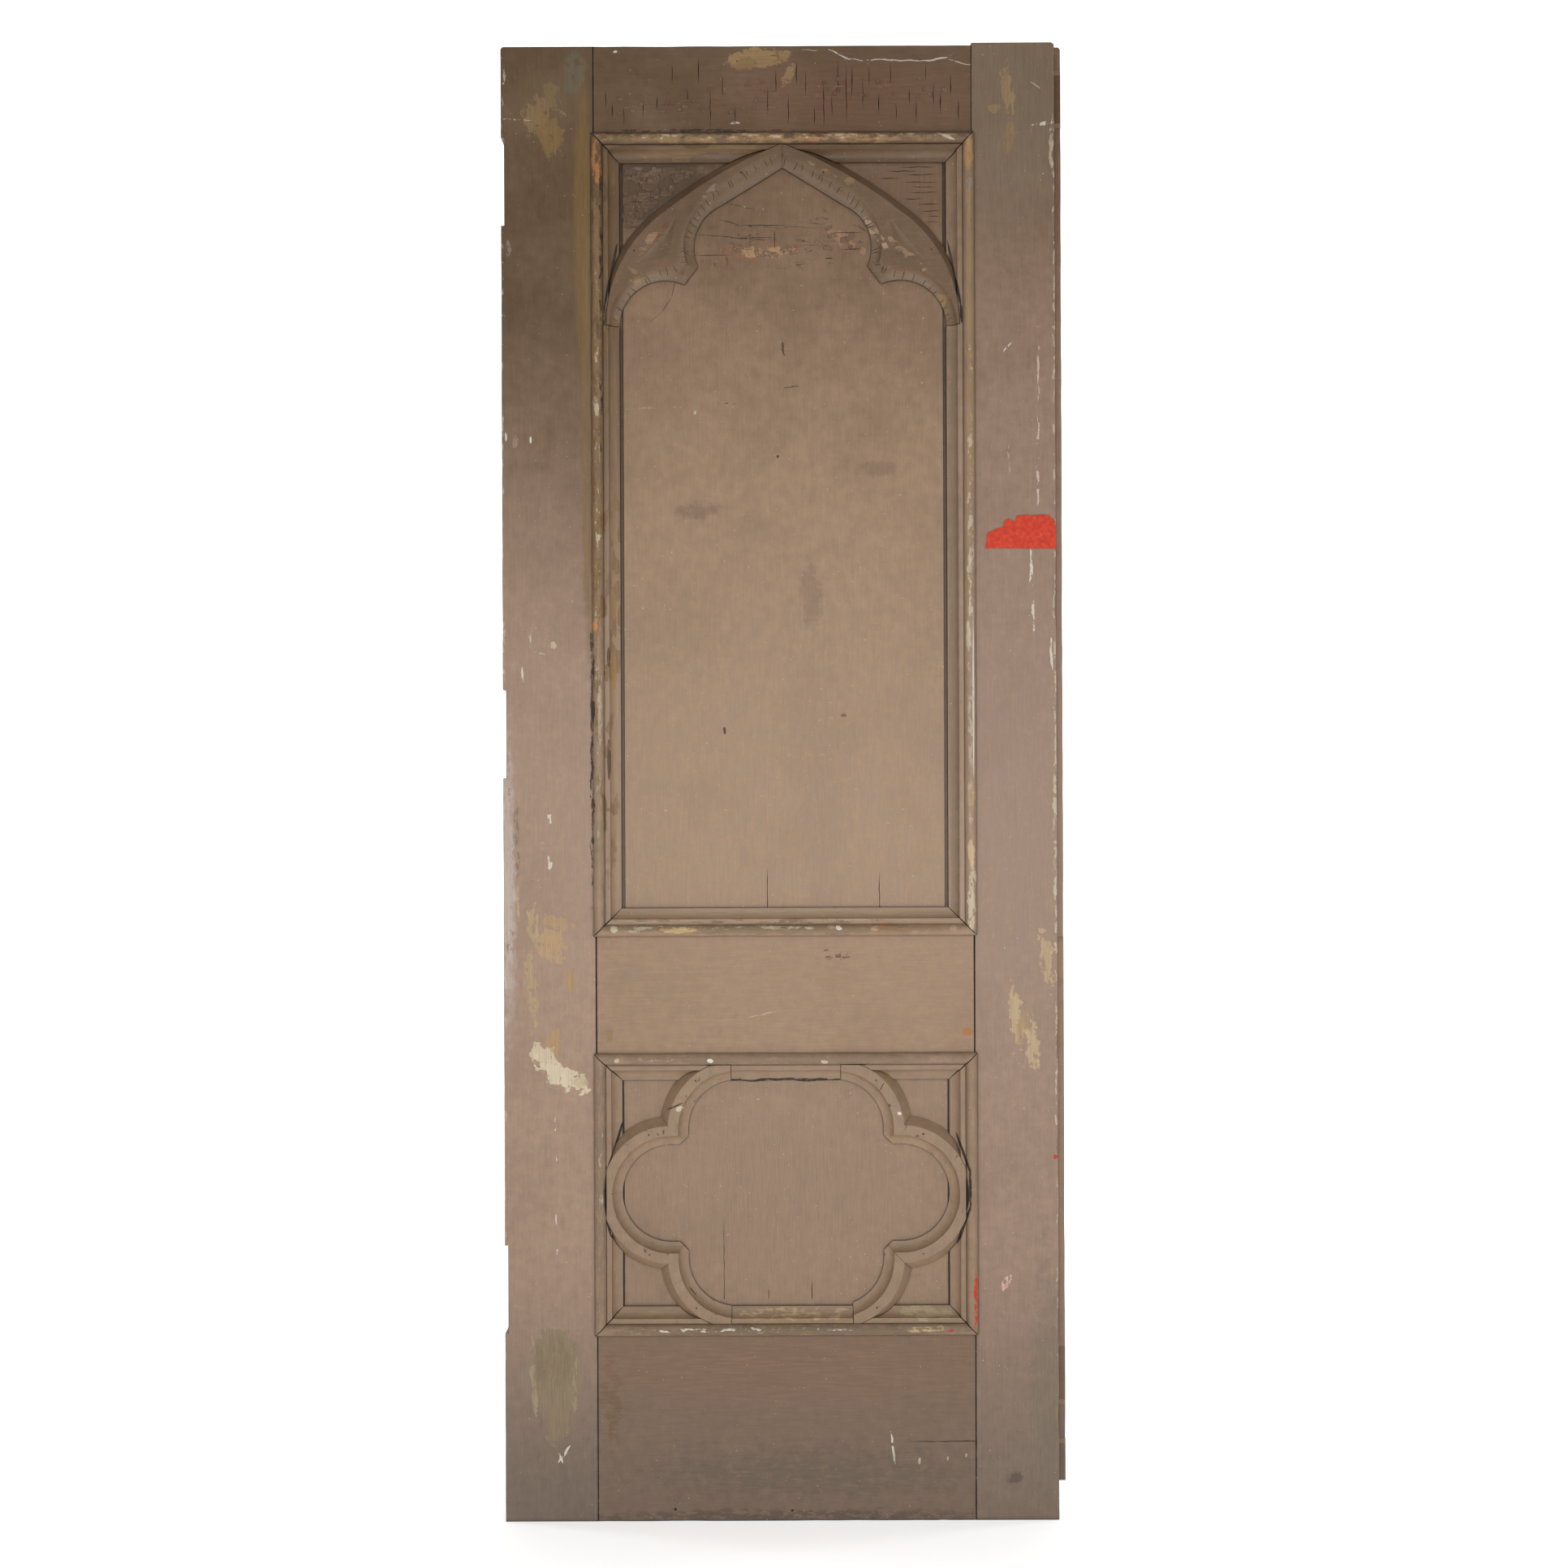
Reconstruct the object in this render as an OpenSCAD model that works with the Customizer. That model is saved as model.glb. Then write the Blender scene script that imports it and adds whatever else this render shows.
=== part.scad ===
// Panelled door leaf with a cusped arch and a quatrefoil ring planted on its two panels.
// Every piece is drawn lying on the bench, face up: x across the leaf, y up its height,
// z out of its face, with zero on the face of the frame. stand() then sets it upright.

/* [Leaf] */
// Height of the hinge stile and of the top rail's upper edge
leaf_h = 2134; // [1900:2400]
// Width over all, with the closing tongue
leaf_w = 813; // [740:950]
// Thickness of the frame
leaf_t = 46; // [40:60]

/* [Frame] */
// Face width of the hinge stile
hinge_stile_w = 134; // [110:160]
// Face width of the closing stile, up to its rebate
closing_stile_w = 120; // [100:150]
// How far the tongue stands out of the closing edge
tongue_w = 12; // [6:18]
// Thickness of the tongue, from the back
tongue_t = 23; // [12:28]
// Length of tongue that is broken away at the foot
tongue_break_h = 50; // [10:120]
// How far the closing stile stands above the top rail
closing_horn = 4; // [0.5:12]
// Height of the top rail
top_rail_h = 129; // [110:160]
// Height of the lock rail
lock_rail_h = 177; // [160:220]
// Height of the opening for the lower panel
lower_opening_h = 401; // [340:470]
// Height of the bottom rail
bottom_rail_h = 272; // [250:310]
// Radius of the worn outer corners at the top
corner_r = 5; // [2:12]

/* [Joints] */
// Thickness of the tenons
tenon_t = 15; // [11:19]
// Height of the top rail's tenon
top_tenon_h = 70; // [50:85]
// Height of the top tenon's lower edge above the rail's edge
top_tenon_lift = 22; // [14:30]
// Height of each of the lock rail's two tenons
lock_tenon_h = 54; // [40:64]
// Height of each of the bottom rail's two tenons
bottom_tenon_h = 78; // [60:95]
// Width of a wedge at the outer edge
wedge_w = 7; // [4:10]
// Width of a wedge at its tip
wedge_tip = 1.2; // [0.6:2.5]
// Length of a wedge
wedge_l = 60; // [40:80]

/* [Hinge gains] */
// Length of a gain, for a five inch butt
gain_l = 127; // [100:140]
// Depth of a gain
gain_d = 5.5; // [3:8]
// Wood left behind a gain, at the back of the leaf
gain_lip = 8; // [4:14]
// Distance from the leaf's top to the middle of the top gain
top_gain_drop = 195; // [185:260]
// Height of the middle of the middle gain
middle_gain_y = 1140; // [1000:1250]
// Height of the middle of the bottom gain
bottom_gain_y = 336; // [325:400]
// Radius of a screw hole
screw_r = 2.2; // [1.5:3]
// Depth of a screw hole below the gain's floor
screw_d = 26; // [15:40]
// Distance between screw holes along the leaf
screw_pitch_l = 92; // [70:100]
// Distance between screw holes across the edge
screw_pitch_t = 18; // [12:24]

/* [Panels] */
// Thickness of a panel
panel_t = 16; // [12:20]
// Depth of a panel's face below the frame's face
panel_recess = 15; // [12:18]
// Thickness of the tongue round a panel
panel_tongue_t = 10; // [6:11]
// Depth of the panel groove in the frame
groove_d = 11; // [8:16]
// Room at the bottom of the groove
panel_play = 2; // [0.5:4]
// Room between a panel's raised face and the frame
field_play = 1.5; // [0.5:3]
// Gap that shrinkage has opened at the upper panel's two sides
shrink_gap = 5.5; // [2:9]

/* [Mouldings] */
// Width of a moulding
moulding_w = 40; // [36:46]
// How far a moulding laps over the frame
moulding_lap = 4; // [2:7]
// Width of the round bead
bead_w = 16.5; // [14:18]
// How far the bead stands above the frame
bead_proud = 7; // [4:8]
// Width of the quirk beside the bead
quirk_w = 1.5; // [1:2.5]
// Depth of the quirk below the frame's face
quirk_d = 2.5; // [1.5:4]
// Height of the fillet above the frame's face
fillet_proud = 1; // [0.3:2]
// Radius of the cove
cove_r = 12.5; // [10:13.5]
// Width of the lip inside the cove
lip_w = 2.5; // [1.5:4]
// Opening at each mitre, along the moulding
mitre_gap = 0.5; // [0.1:1.5]

/* [Tracery] */
// Width of the hollow on the inner edge
hollow_w = 14; // [10:14.5]
// Width of the flat band
band_w = 15; // [11:19]
// Run of the bevel on the outer edge
bevel_w = 12; // [8:15]
// How far the tracery reaches over the moulding
tracery_seat = 22.5; // [19.5:23]
// Gap between the tracery and the moulding cut round it
tracery_gap = 0.8; // [0.2:1]
// Opening at the joints between pieces of tracery
tracery_joint = 0.4; // [0.1:1]

/* [Arch] */
// Rise of the arch's inner edge from springing to apex
arch_rise = 231; // [210:255]
// Distance from the head moulding down to the inner apex
arch_drop = 7; // [3:12]
// Reach of the arch's ends over the side mouldings
arch_foot_seat = 18; // [15.5:21]
// Height of the band above the inner apex
arch_crown = 31; // [26:36]
// Depth of the sinking in each spandrel
sinking_d = 4; // [2:7]

/* [Quatrefoil] */
// Width cut off the point of each cusp
cusp_blunt = 9; // [4:14]

/* [Fixings] */
// Radius of a brad
brad_r = 0.9; // [0.6:1.4]
// Length of a brad
brad_l = 32; // [24:36]
// Depth of a brad's head below the quirk
brad_set = 1.5; // [0.5:3]
// Slope of a brad
brad_tilt = 20; // [12:24]
// Radius of a tracery pin
pin_r = 1; // [0.6:1.6]
// Depth of a tracery pin in the panel
pin_d = 9; // [5:12]
// Room round a brad or a pin
pin_play = 0.1; // [0.05:0.2]

/* [Hidden] */
$fn = 96;
overrun = 1;

// The frame's lines on the bench
x_hinge = -leaf_w / 2;
x_close = leaf_w / 2;
x_left = x_hinge + hinge_stile_w;
x_face = x_close - tongue_w;
x_right = x_face - closing_stile_w;
opening_w = x_right - x_left;
opening_x = (x_left + x_right) / 2;
closing_h = leaf_h + closing_horn;
y_lower0 = bottom_rail_h;
y_lower1 = y_lower0 + lower_opening_h;
y_upper0 = y_lower1 + lock_rail_h;
y_upper1 = leaf_h - top_rail_h;
upper_opening_h = y_upper1 - y_upper0;
upper_y = (y_upper0 + y_upper1) / 2;
lower_y = (y_lower0 + y_lower1) / 2;
// The leaf's own box is centred front to back, so the frame's face lies forward of the middle
face_y = (bead_proud - leaf_t) / 2;

// Tenons: the height of each one's middle and its own height
top_tenon_y = y_upper1 + top_tenon_lift + top_tenon_h / 2;
tenon_place_share = 0.26;
lock_tenon_y = y_lower1 + lock_rail_h / 2;
lock_tenon_off = tenon_place_share * lock_rail_h;
bottom_tenon_off = tenon_place_share * bottom_rail_h;
top_tenons = [[top_tenon_y, top_tenon_h]];
lock_tenons = [
    [lock_tenon_y - lock_tenon_off, lock_tenon_h],
    [lock_tenon_y + lock_tenon_off, lock_tenon_h]];
bottom_tenons = [
    [bottom_rail_h / 2 - bottom_tenon_off, bottom_tenon_h],
    [bottom_rail_h / 2 + bottom_tenon_off, bottom_tenon_h]];
all_tenons = concat(top_tenons, lock_tenons, bottom_tenons);

// Panels: the face, the tongue's face and the back, measured from the frame's face
panel_back = -(panel_recess + panel_t);
tongue_face = panel_back + panel_tongue_t;
sight_inset = moulding_w - moulding_lap;
sight_x = opening_w / 2 - sight_inset;
upper_sight_y = upper_opening_h / 2 - sight_inset;
lower_sight_y = lower_opening_h / 2 - sight_inset;

// Gains, from the top down
gain_ys = [leaf_h - top_gain_drop, middle_gain_y, bottom_gain_y];
gain_t = leaf_t - gain_lip;

// Tracery runs from the panel's face to the level of the moulding's fillet
trace_t = panel_recess + fillet_proud;

// The arch, from the middle of its springing line
arch_y = upper_sight_y - arch_drop - arch_rise;
arch_lobe_share = 0.283;
arch_lobe = arch_lobe_share * sight_x;
low_lobe = [sight_x - arch_lobe, 0];
high_lobe_shares = [0.262, 0.494];
high_lobe = [high_lobe_shares[0] * sight_x, high_lobe_shares[1] * arch_rise];
low_cusp_angle = 114;
high_cusp_angle = -24;
low_cusp = low_lobe + arch_lobe * [cos(low_cusp_angle), sin(low_cusp_angle)];
high_cusp = high_lobe + arch_lobe * [cos(high_cusp_angle), sin(high_cusp_angle)];
cusp_run = high_cusp - low_cusp;
// The hollow is worked in three facets, whose corners are shares of its width
hollow_shares = [[0, 1], [0.5, 0.866], [0.866, 0.5], [1, 0]];
// The middle of the opening, as shares of the lobes' radius: it only has to lie inside the edge
light_share = 0.7;
light_low_shares = [[0.5, 0.4], [-0.1, 0.65]];
light_high_shares = [[0.75, -0.42], [0.45, 0.5]];
// The flat of the cusps is cut past both its ends by this much
cusp_past = 6;
// The straight run from the upper lobe to the apex is a tangent
apex_to_lobe = high_lobe - [0, arch_rise];
apex_slope = atan2(-apex_to_lobe[1], apex_to_lobe[0]) - asin(arch_lobe / norm(apex_to_lobe));
apex_run = sqrt(pow(norm(apex_to_lobe), 2) - pow(arch_lobe, 2));
// The back of the arch: a haunch circle, then a flatter one through the crown
haunch_share = 0.866;
haunch_r = haunch_share * arch_rise;
haunch_x = sight_x + arch_foot_seat - haunch_r;
haunch_angle = 50;
haunch_way = [cos(haunch_angle), sin(haunch_angle)];
haunch_end = [haunch_x, 0] + haunch_r * haunch_way;
crown_off = [0, arch_rise + arch_crown] - haunch_end;
crown_r = -pow(norm(crown_off), 2) / (2 * haunch_way * crown_off);
crown_at = haunch_end - crown_r * haunch_way;
crown_angle = atan2(arch_rise + arch_crown - crown_at[1], -crown_at[0]);
spare_angle = 3;
past_angle = 15;
// Where one curve runs into the next, the second starts this little inside the first
easing = 0.5;
// Corners and floor of the sinking in a spandrel, as shares of the half width and the rise
sinking_shares = [[0.62, 0.723], [0.916, 0.355], [0.688, 0.416]];
sinking_floor_shares = [0.735, 0.5];
// Pins in one half of the arch: along the haunch band and up the straight run
arch_pin_angle = 34;
arch_pin_share = 0.5;
band_mid = hollow_w + band_w / 2;
arch_pins = [
    [haunch_x, 0] + (haunch_r - band_w / 2) * [cos(arch_pin_angle), sin(arch_pin_angle)],
    [0, arch_rise] + arch_pin_share * apex_run * [cos(apex_slope), -sin(apex_slope)]
        + band_mid * [sin(apex_slope), cos(apex_slope)]];

// The quatrefoil, from the middle of the lower panel
ring_out = hollow_w + band_w;
lobe_share = 0.43;
lobe_r = lobe_share * lower_sight_y;
lobe_x = sight_x - lobe_r;
body_share = 0.598;
body_x = body_share * sight_x;
body_corner = [body_x - lobe_r, lower_sight_y - lobe_r];
cusp = [body_x, lobe_r];
// Ends of the ring, beyond the corner's middle; at the lower right, where it is pieced, it stops sooner
end_share = 0.12;
pieced_share = 0.36;
ring_end = body_corner[0] + end_share * lobe_r;
pieced_end = body_corner[0] + pieced_share * lobe_r;
ring_pin_angle = 70;
corner_pin_angle = 50;
ring_pins = [
    [lobe_x, 0] + (lobe_r + band_mid) * [cos(ring_pin_angle), sin(ring_pin_angle)],
    body_corner + (lobe_r + band_mid) * [cos(corner_pin_angle), sin(corner_pin_angle)]];

// Places of the brads along half of each moulding, as shares
side_brad_shares = [-0.9, -0.45, 0, 0.36, 0.9];
end_brad_shares = [-0.78, 0, 0.78];
brad_u = bead_w + quirk_w / 2;

paint = [0.45, 0.37, 0.30];
bare = [0.42, 0.29, 0.18];
iron = [0.22, 0.20, 0.19];

// From the bench to its feet
module stand() {
    translate([0, face_y, 0]) rotate([90, 0, 0]) children();
}

// A block between two corners on the bench
module block(low, high) {
    translate(low) cube(high - low);
}

module at_upper() {
    translate([opening_x, upper_y, 0]) children();
}

module at_lower() {
    translate([opening_x, lower_y, 0]) children();
}

module at_arch() {
    at_upper() translate([0, arch_y, 0]) children();
}

// The four sides of an opening: each is drawn as its left side
module side_of(turn) {
    rotate([0, 0, turn]) children();
}

// What the rebate and the broken foot of the tongue take off the closing edge
module rebate() {
    block([x_face, -overrun, tongue_t - leaf_t],
        [x_close + overrun, closing_h + overrun, overrun]);
    block([x_face, -overrun, -leaf_t - overrun],
        [x_close + overrun, tongue_break_h, overrun]);
}

// The rounding of an outer top corner, drawn for the right hand
module corner_cut(x, y, low) {
    translate([x - corner_r, y - corner_r, low])
        linear_extrude(overrun - low) difference() {
            square(corner_r + overrun);
            circle(corner_r);
        }
}

// Groove for the panels' tongues, along a line of the frame
module groove(low, high) {
    block([low[0], low[1], panel_back], [high[0], high[1], tongue_face]);
}

// Outline of a wedge beside a tenon, drawn at the right hand above the tenon
module wedge_outline(tenon) {
    top = tenon[0] + tenon[1] / 2;
    polygon([[x_close, top], [x_close, top + wedge_w],
        [x_close - wedge_l, top + wedge_tip], [x_close - wedge_l, top]]);
}

module wedge_pair(tenon) {
    translate([0, 0, -(leaf_t + tenon_t) / 2]) linear_extrude(tenon_t) {
        wedge_outline(tenon);
        translate([0, tenon[0], 0]) mirror([0, 1, 0]) translate([0, -tenon[0], 0])
            wedge_outline(tenon);
    }
}

module tenon_block(tenon, x0, x1) {
    block([x0, tenon[0] - tenon[1] / 2, -(leaf_t + tenon_t) / 2],
        [x1, tenon[0] + tenon[1] / 2, (tenon_t - leaf_t) / 2]);
}

// The brads round one opening, grown by a given room
module brads(half_w, half_h, room) {
    for (turn = [0, 180]) side_of(turn) brad_row(half_w, half_h, side_brad_shares, room);
    for (turn = [90, -90]) side_of(turn) brad_row(half_h, half_w, end_brad_shares, room);
}

module brad_row(off, half_l, shares, room) {
    for (share = shares)
        translate([brad_u - off - moulding_lap, share * half_l, -quirk_d])
            rotate([0, -90 - brad_tilt, 0])
                translate([0, 0, brad_set]) cylinder(r = brad_r + room, h = brad_l);
}

module all_brads(room) {
    at_upper() brads(opening_w / 2, upper_opening_h / 2, room);
    at_lower() brads(opening_w / 2, lower_opening_h / 2, room);
}

module hinge_stile() {
    color(paint) stand() difference() {
        block([x_hinge, 0, -leaf_t], [x_left, leaf_h, 0]);
        groove([x_left - groove_d, -overrun], [x_left + overrun, leaf_h + overrun]);
        for (tenon = all_tenons) {
            tenon_block(tenon, x_hinge - overrun, x_left + overrun);
            mirror([1, 0, 0]) wedge_pair(tenon);
        }
        for (y = gain_ys) {
            block([x_hinge - overrun, y - gain_l / 2, -gain_t],
                [x_hinge + gain_d, y + gain_l / 2, overrun]);
            for (along = [-1, 1], across = [-1, 1])
                translate([x_hinge, y + along * screw_pitch_l / 2,
                        (across * screw_pitch_t - gain_t) / 2])
                    rotate([0, 90, 0]) cylinder(r = screw_r, h = gain_d + screw_d);
        }
        mirror([1, 0, 0]) corner_cut(-x_hinge, leaf_h, -leaf_t - overrun);
        all_brads(pin_play);
    }
}

module closing_stile() {
    color(paint) stand() difference() {
        block([x_right, 0, -leaf_t], [x_close, closing_h, 0]);
        groove([x_right - overrun, -overrun], [x_right + groove_d, closing_h + overrun]);
        for (tenon = all_tenons) {
            tenon_block(tenon, x_right - overrun, x_close + overrun);
            wedge_pair(tenon);
        }
        rebate();
        corner_cut(x_close, closing_h, -leaf_t - overrun);
        corner_cut(x_face, closing_h, tongue_t - leaf_t);
        all_brads(pin_play);
    }
}

// A rail between two heights, with its haunches and through tenons
module rail(y0, y1, tenons) {
    difference() {
        union() {
            block([x_left, y0, -leaf_t], [x_right, y1, 0]);
            groove([x_left - groove_d, y0], [x_right + groove_d, y1]);
            for (tenon = tenons) tenon_block(tenon, x_hinge, x_close);
        }
        rebate();
        all_brads(pin_play);
    }
}

module top_rail() {
    color(paint) stand() difference() {
        rail(y_upper1, leaf_h, top_tenons);
        groove([x_left - groove_d, y_upper1 - overrun], [x_right + groove_d, y_upper1 + groove_d]);
    }
}

module lock_rail() {
    color(paint) stand() difference() {
        rail(y_lower1, y_upper0, lock_tenons);
        groove([x_left - groove_d, y_lower1 - overrun], [x_right + groove_d, y_lower1 + groove_d]);
        groove([x_left - groove_d, y_upper0 - groove_d], [x_right + groove_d, y_upper0 + overrun]);
    }
}

module bottom_rail() {
    color(paint) stand() difference() {
        rail(0, y_lower0, bottom_tenons);
        groove([x_left - groove_d, y_lower0 - groove_d], [x_right + groove_d, y_lower0 + overrun]);
    }
}

// A panel: a tongue all round and a raised field, with the holes for its tracery's pins
module panel(half_w, half_h, field_x, field_y) {
    reach = groove_d - panel_play;
    block([-half_w - reach, -half_h - reach, panel_back], [half_w + reach, half_h + reach, tongue_face]);
    block([-field_x, -field_y, panel_back], [field_x, field_y, -panel_recess]);
}

module upper_panel() {
    color(paint) stand() difference() {
        at_upper() panel(opening_w / 2, upper_opening_h / 2,
            sight_x - shrink_gap, upper_opening_h / 2 - field_play);
        all_pins(pin_play);
    }
}

module lower_panel() {
    color(paint) stand() difference() {
        at_lower() panel(opening_w / 2, lower_opening_h / 2,
            opening_w / 2 - field_play, lower_opening_h / 2 - field_play);
        all_pins(pin_play);
    }
}

// Section of a moulding: bead, quirk, fillet, cove and lip, standing on a given foot
module moulding_section(foot) {
    difference() {
        union() {
            translate([bead_w / 2, bead_proud - bead_w / 2]) circle(bead_w / 2);
            translate([moulding_lap, foot])
                square([moulding_w - moulding_lap, fillet_proud - foot]);
        }
        translate([-overrun, foot - overrun])
            square([moulding_lap + overrun, overrun - foot]);
        translate([bead_w, -quirk_d]) square([quirk_w, quirk_d + bead_proud]);
        translate([moulding_w - lip_w, fillet_proud]) circle(cove_r);
        translate([moulding_w - lip_w, fillet_proud - cove_r])
            square([lip_w + overrun, cove_r + overrun]);
    }
}

// One side of a moulding round an opening, mitred at both ends
module moulding_bar(off, half_l, foot) {
    x0 = -off - moulding_lap;
    y1 = half_l + moulding_lap;
    deep = moulding_w + overrun;
    difference() {
        intersection() {
            translate([x0, y1, 0]) rotate([90, 0, 0]) linear_extrude(y1 * 2) moulding_section(foot);
            translate([0, 0, foot - overrun])
                linear_extrude(bead_proud - foot + overrun * 2) polygon([
                    [x0, mitre_gap - y1], [x0 + deep, mitre_gap - y1 + deep],
                    [x0 + deep, y1 - mitre_gap - deep], [x0, y1 - mitre_gap]]);
        }
        children();
    }
}

// A bar of the upper moulding, cut away where the arch is let into it
module upper_moulding(turn, off, half_l, foot, shares) {
    color(paint) stand() at_upper() difference() {
        side_of(turn) moulding_bar(off, half_l, foot) brad_row(off, half_l, shares, pin_play);
        children();
    }
}

module lower_moulding(turn, off, half_l, shares) {
    color(paint) stand() at_lower() difference() {
        side_of(turn) moulding_bar(off, half_l, -panel_recess)
            brad_row(off, half_l, shares, pin_play);
        ring_back(tracery_gap, -panel_recess - overrun, bead_proud + overrun);
    }
}

module upper_moulding_head() {
    upper_moulding(-90, upper_opening_h / 2, opening_w / 2, -panel_recess, end_brad_shares)
        for (hand = [0, 1]) arch_hand(hand)
            arch_shoulder(tracery_gap, tongue_face - overrun, bead_proud + overrun);
}

module upper_moulding_foot() {
    upper_moulding(90, upper_opening_h / 2, opening_w / 2, -panel_recess, end_brad_shares);
}

module upper_moulding_left() {
    upper_moulding(0, opening_w / 2, upper_opening_h / 2, tongue_face, side_brad_shares)
        arch_hand(1) arch_haunch(tracery_gap, tongue_face - overrun, bead_proud + overrun);
}

module upper_moulding_right() {
    upper_moulding(180, opening_w / 2, upper_opening_h / 2, tongue_face, side_brad_shares)
        arch_hand(0) arch_haunch(tracery_gap, tongue_face - overrun, bead_proud + overrun);
}

module lower_moulding_head() {
    lower_moulding(-90, lower_opening_h / 2, opening_w / 2, end_brad_shares);
}

module lower_moulding_foot() {
    lower_moulding(90, lower_opening_h / 2, opening_w / 2, end_brad_shares);
}

module lower_moulding_left() {
    lower_moulding(0, opening_w / 2, lower_opening_h / 2, side_brad_shares);
}

module lower_moulding_right() {
    lower_moulding(180, opening_w / 2, lower_opening_h / 2, side_brad_shares);
}

// Outline of the tracery's bevelled back edge, a given distance out, grown by a gap
module back_section(out, gap, low, high) {
    foot = out + gap + bevel_w * (fillet_proud - low) / trace_t;
    polygon([[0, low], [foot, low], [out + gap, fillet_proud], [out + gap, high], [0, high]]);
}

module back_disc(r, gap, low, high) {
    rotate_extrude() back_section(r, gap, low, high);
}

// A bevelled bar along x, of a given half length and half width at its face
module back_bar(half_l, half_w, gap, low, high) {
    rotate([90, 0, 90]) linear_extrude(half_l * 2, center = true) {
        back_section(half_w, gap, low, high);
        mirror([1, 0]) back_section(half_w, gap, low, high);
    }
}

// Section of the hollow on an inner edge: the air lies on the left, out to a given depth
module hollow_section(deep) {
    translate([-deep, -panel_recess - overrun]) square([deep, trace_t + overrun * 2]);
    polygon(concat([[-deep, fillet_proud + overrun]],
        [for (share = hollow_shares) [share[0] * hollow_w, fillet_proud - share[1] * hollow_w]],
        [[hollow_w, fillet_proud + overrun]]));
}

// A hollowed straight edge through a point, with the wood on the side that an angle points to
module hollow_run(at, angle, long, deep) {
    translate([at[0], at[1], 0]) rotate([90, 0, angle])
        linear_extrude(long, center = true) hollow_section(deep);
}

// A slice of the tracery's back about a centre, between two angles
module back_slice(r, from, to, gap, low, high) {
    rotate([0, 0, from]) rotate_extrude(angle = to - from) back_section(r, gap, low, high);
}

// The upper part of one half of the arch's back edge and all that it encloses
module arch_shoulder(gap, low, high) {
    intersection() {
        translate([crown_at[0], crown_at[1], 0])
            back_slice(crown_r - easing, haunch_angle, crown_angle + spare_angle, gap, low, high);
        arch_bounds(gap, low, high);
    }
}

// The lower part of it, which the shoulder's curve runs on from
module arch_haunch(gap, low, high) {
    intersection() {
        translate([haunch_x, 0, 0])
            back_slice(haunch_r, -spare_angle, haunch_angle + past_angle, gap, low, high);
        arch_bounds(gap, low, high);
    }
}

// What the mouldings leave of the half
module arch_bounds(gap, low, high) {
    block([-easing, -gap, low], [sight_x + tracery_seat + gap,
        arch_rise + arch_drop + tracery_seat + gap, high]);
}

module arch_hand(hand) {
    translate([0, arch_y, 0]) mirror([hand, 0, 0]) children();
}

// The straight side of the arch's opening, from the upper lobe past the apex
module apex_side() {
    wide = sight_x + arch_rise;
    translate([0, arch_rise, 0]) rotate([0, 0, -apex_slope])
        translate([apex_run - wide / 2, -easing, 0]) hollow_run([0, 0], 90, wide, wide);
}

// The open part of the arch, with the hollow worked round its edge
module arch_light() {
    deep = light_share * arch_lobe;
    mid = (low_cusp + high_cusp) / 2;
    inward = [-cusp_run[1], cusp_run[0]] / norm(cusp_run);
    translate([low_lobe[0], low_lobe[1], 0])
        rotate_extrude() translate([arch_lobe, 0]) hollow_section(deep);
    translate([high_lobe[0], high_lobe[1], 0]) rotate([0, 0, high_cusp_angle - spare_angle * 2])
        rotate_extrude(angle = 90 - apex_slope - high_cusp_angle + spare_angle * 2 + past_angle)
            translate([arch_lobe, 0]) hollow_section(deep);
    hollow_run(mid, atan2(-cusp_run[0], cusp_run[1]), norm(cusp_run) + cusp_past * 2, arch_lobe);
    translate([0, 0, -panel_recess - overrun]) linear_extrude(trace_t + overrun * 2)
        polygon(concat([[-overrun, -overrun], [low_lobe[0] + light_low_shares[0][0] * arch_lobe, -overrun]],
            [for (share = light_low_shares) low_lobe + arch_lobe * share],
            [mid + (arch_lobe - deep) * light_share * inward],
            [for (share = light_high_shares) high_lobe + arch_lobe * share],
            [[-overrun, high_lobe[1] + light_high_shares[1][1] * arch_lobe]]));
    intersection() {
        apex_side();
        mirror([1, 0, 0]) apex_side();
    }
}

module spandrel_sinking() {
    corners = [for (s = sinking_shares) [s[0] * sight_x, s[1] * arch_rise, fillet_proud + overrun]];
    floor_at = [sinking_floor_shares[0] * sight_x, sinking_floor_shares[1] * arch_rise,
        fillet_proud - sinking_d];
    polyhedron(concat(corners, [floor_at]), [[0, 1, 2], [1, 0, 3], [2, 1, 3], [0, 2, 3]]);
}

module arch_half() {
    difference() {
        intersection() {
            union() {
                arch_haunch(0, -panel_recess, fillet_proud);
                arch_shoulder(0, -panel_recess, fillet_proud);
            }
            block([tracery_joint / 2, -overrun, -panel_recess - overrun], [sight_x + tracery_seat,
                arch_rise + arch_drop + tracery_seat, fillet_proud + overrun]);
        }
        arch_light();
        spandrel_sinking();
        arch_half_pins(pin_play);
    }
}

module arch_half_pins(room) {
    for (at = arch_pins) translate([at[0], at[1], -panel_recess - pin_d])
        cylinder(r = pin_r + room, h = trace_t + pin_d);
}

module arch_left() {
    color(paint) stand() at_arch() mirror([1, 0, 0]) arch_half();
}

module arch_right() {
    color(paint) stand() at_arch() arch_half();
}

// What the ring leaves to itself: up to its ends and within what the mouldings leave
module ring_bed(gap, low, high) {
    half_w = sight_x + tracery_seat + gap;
    half_h = lower_sight_y + tracery_seat + gap;
    block([-half_w, -half_h, low], [gap - ring_end, half_h, high]);
    block([ring_end - gap, 0, low], [half_w, half_h, high]);
    block([pieced_end - gap, -half_h, low], [half_w, 0, high]);
}

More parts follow.
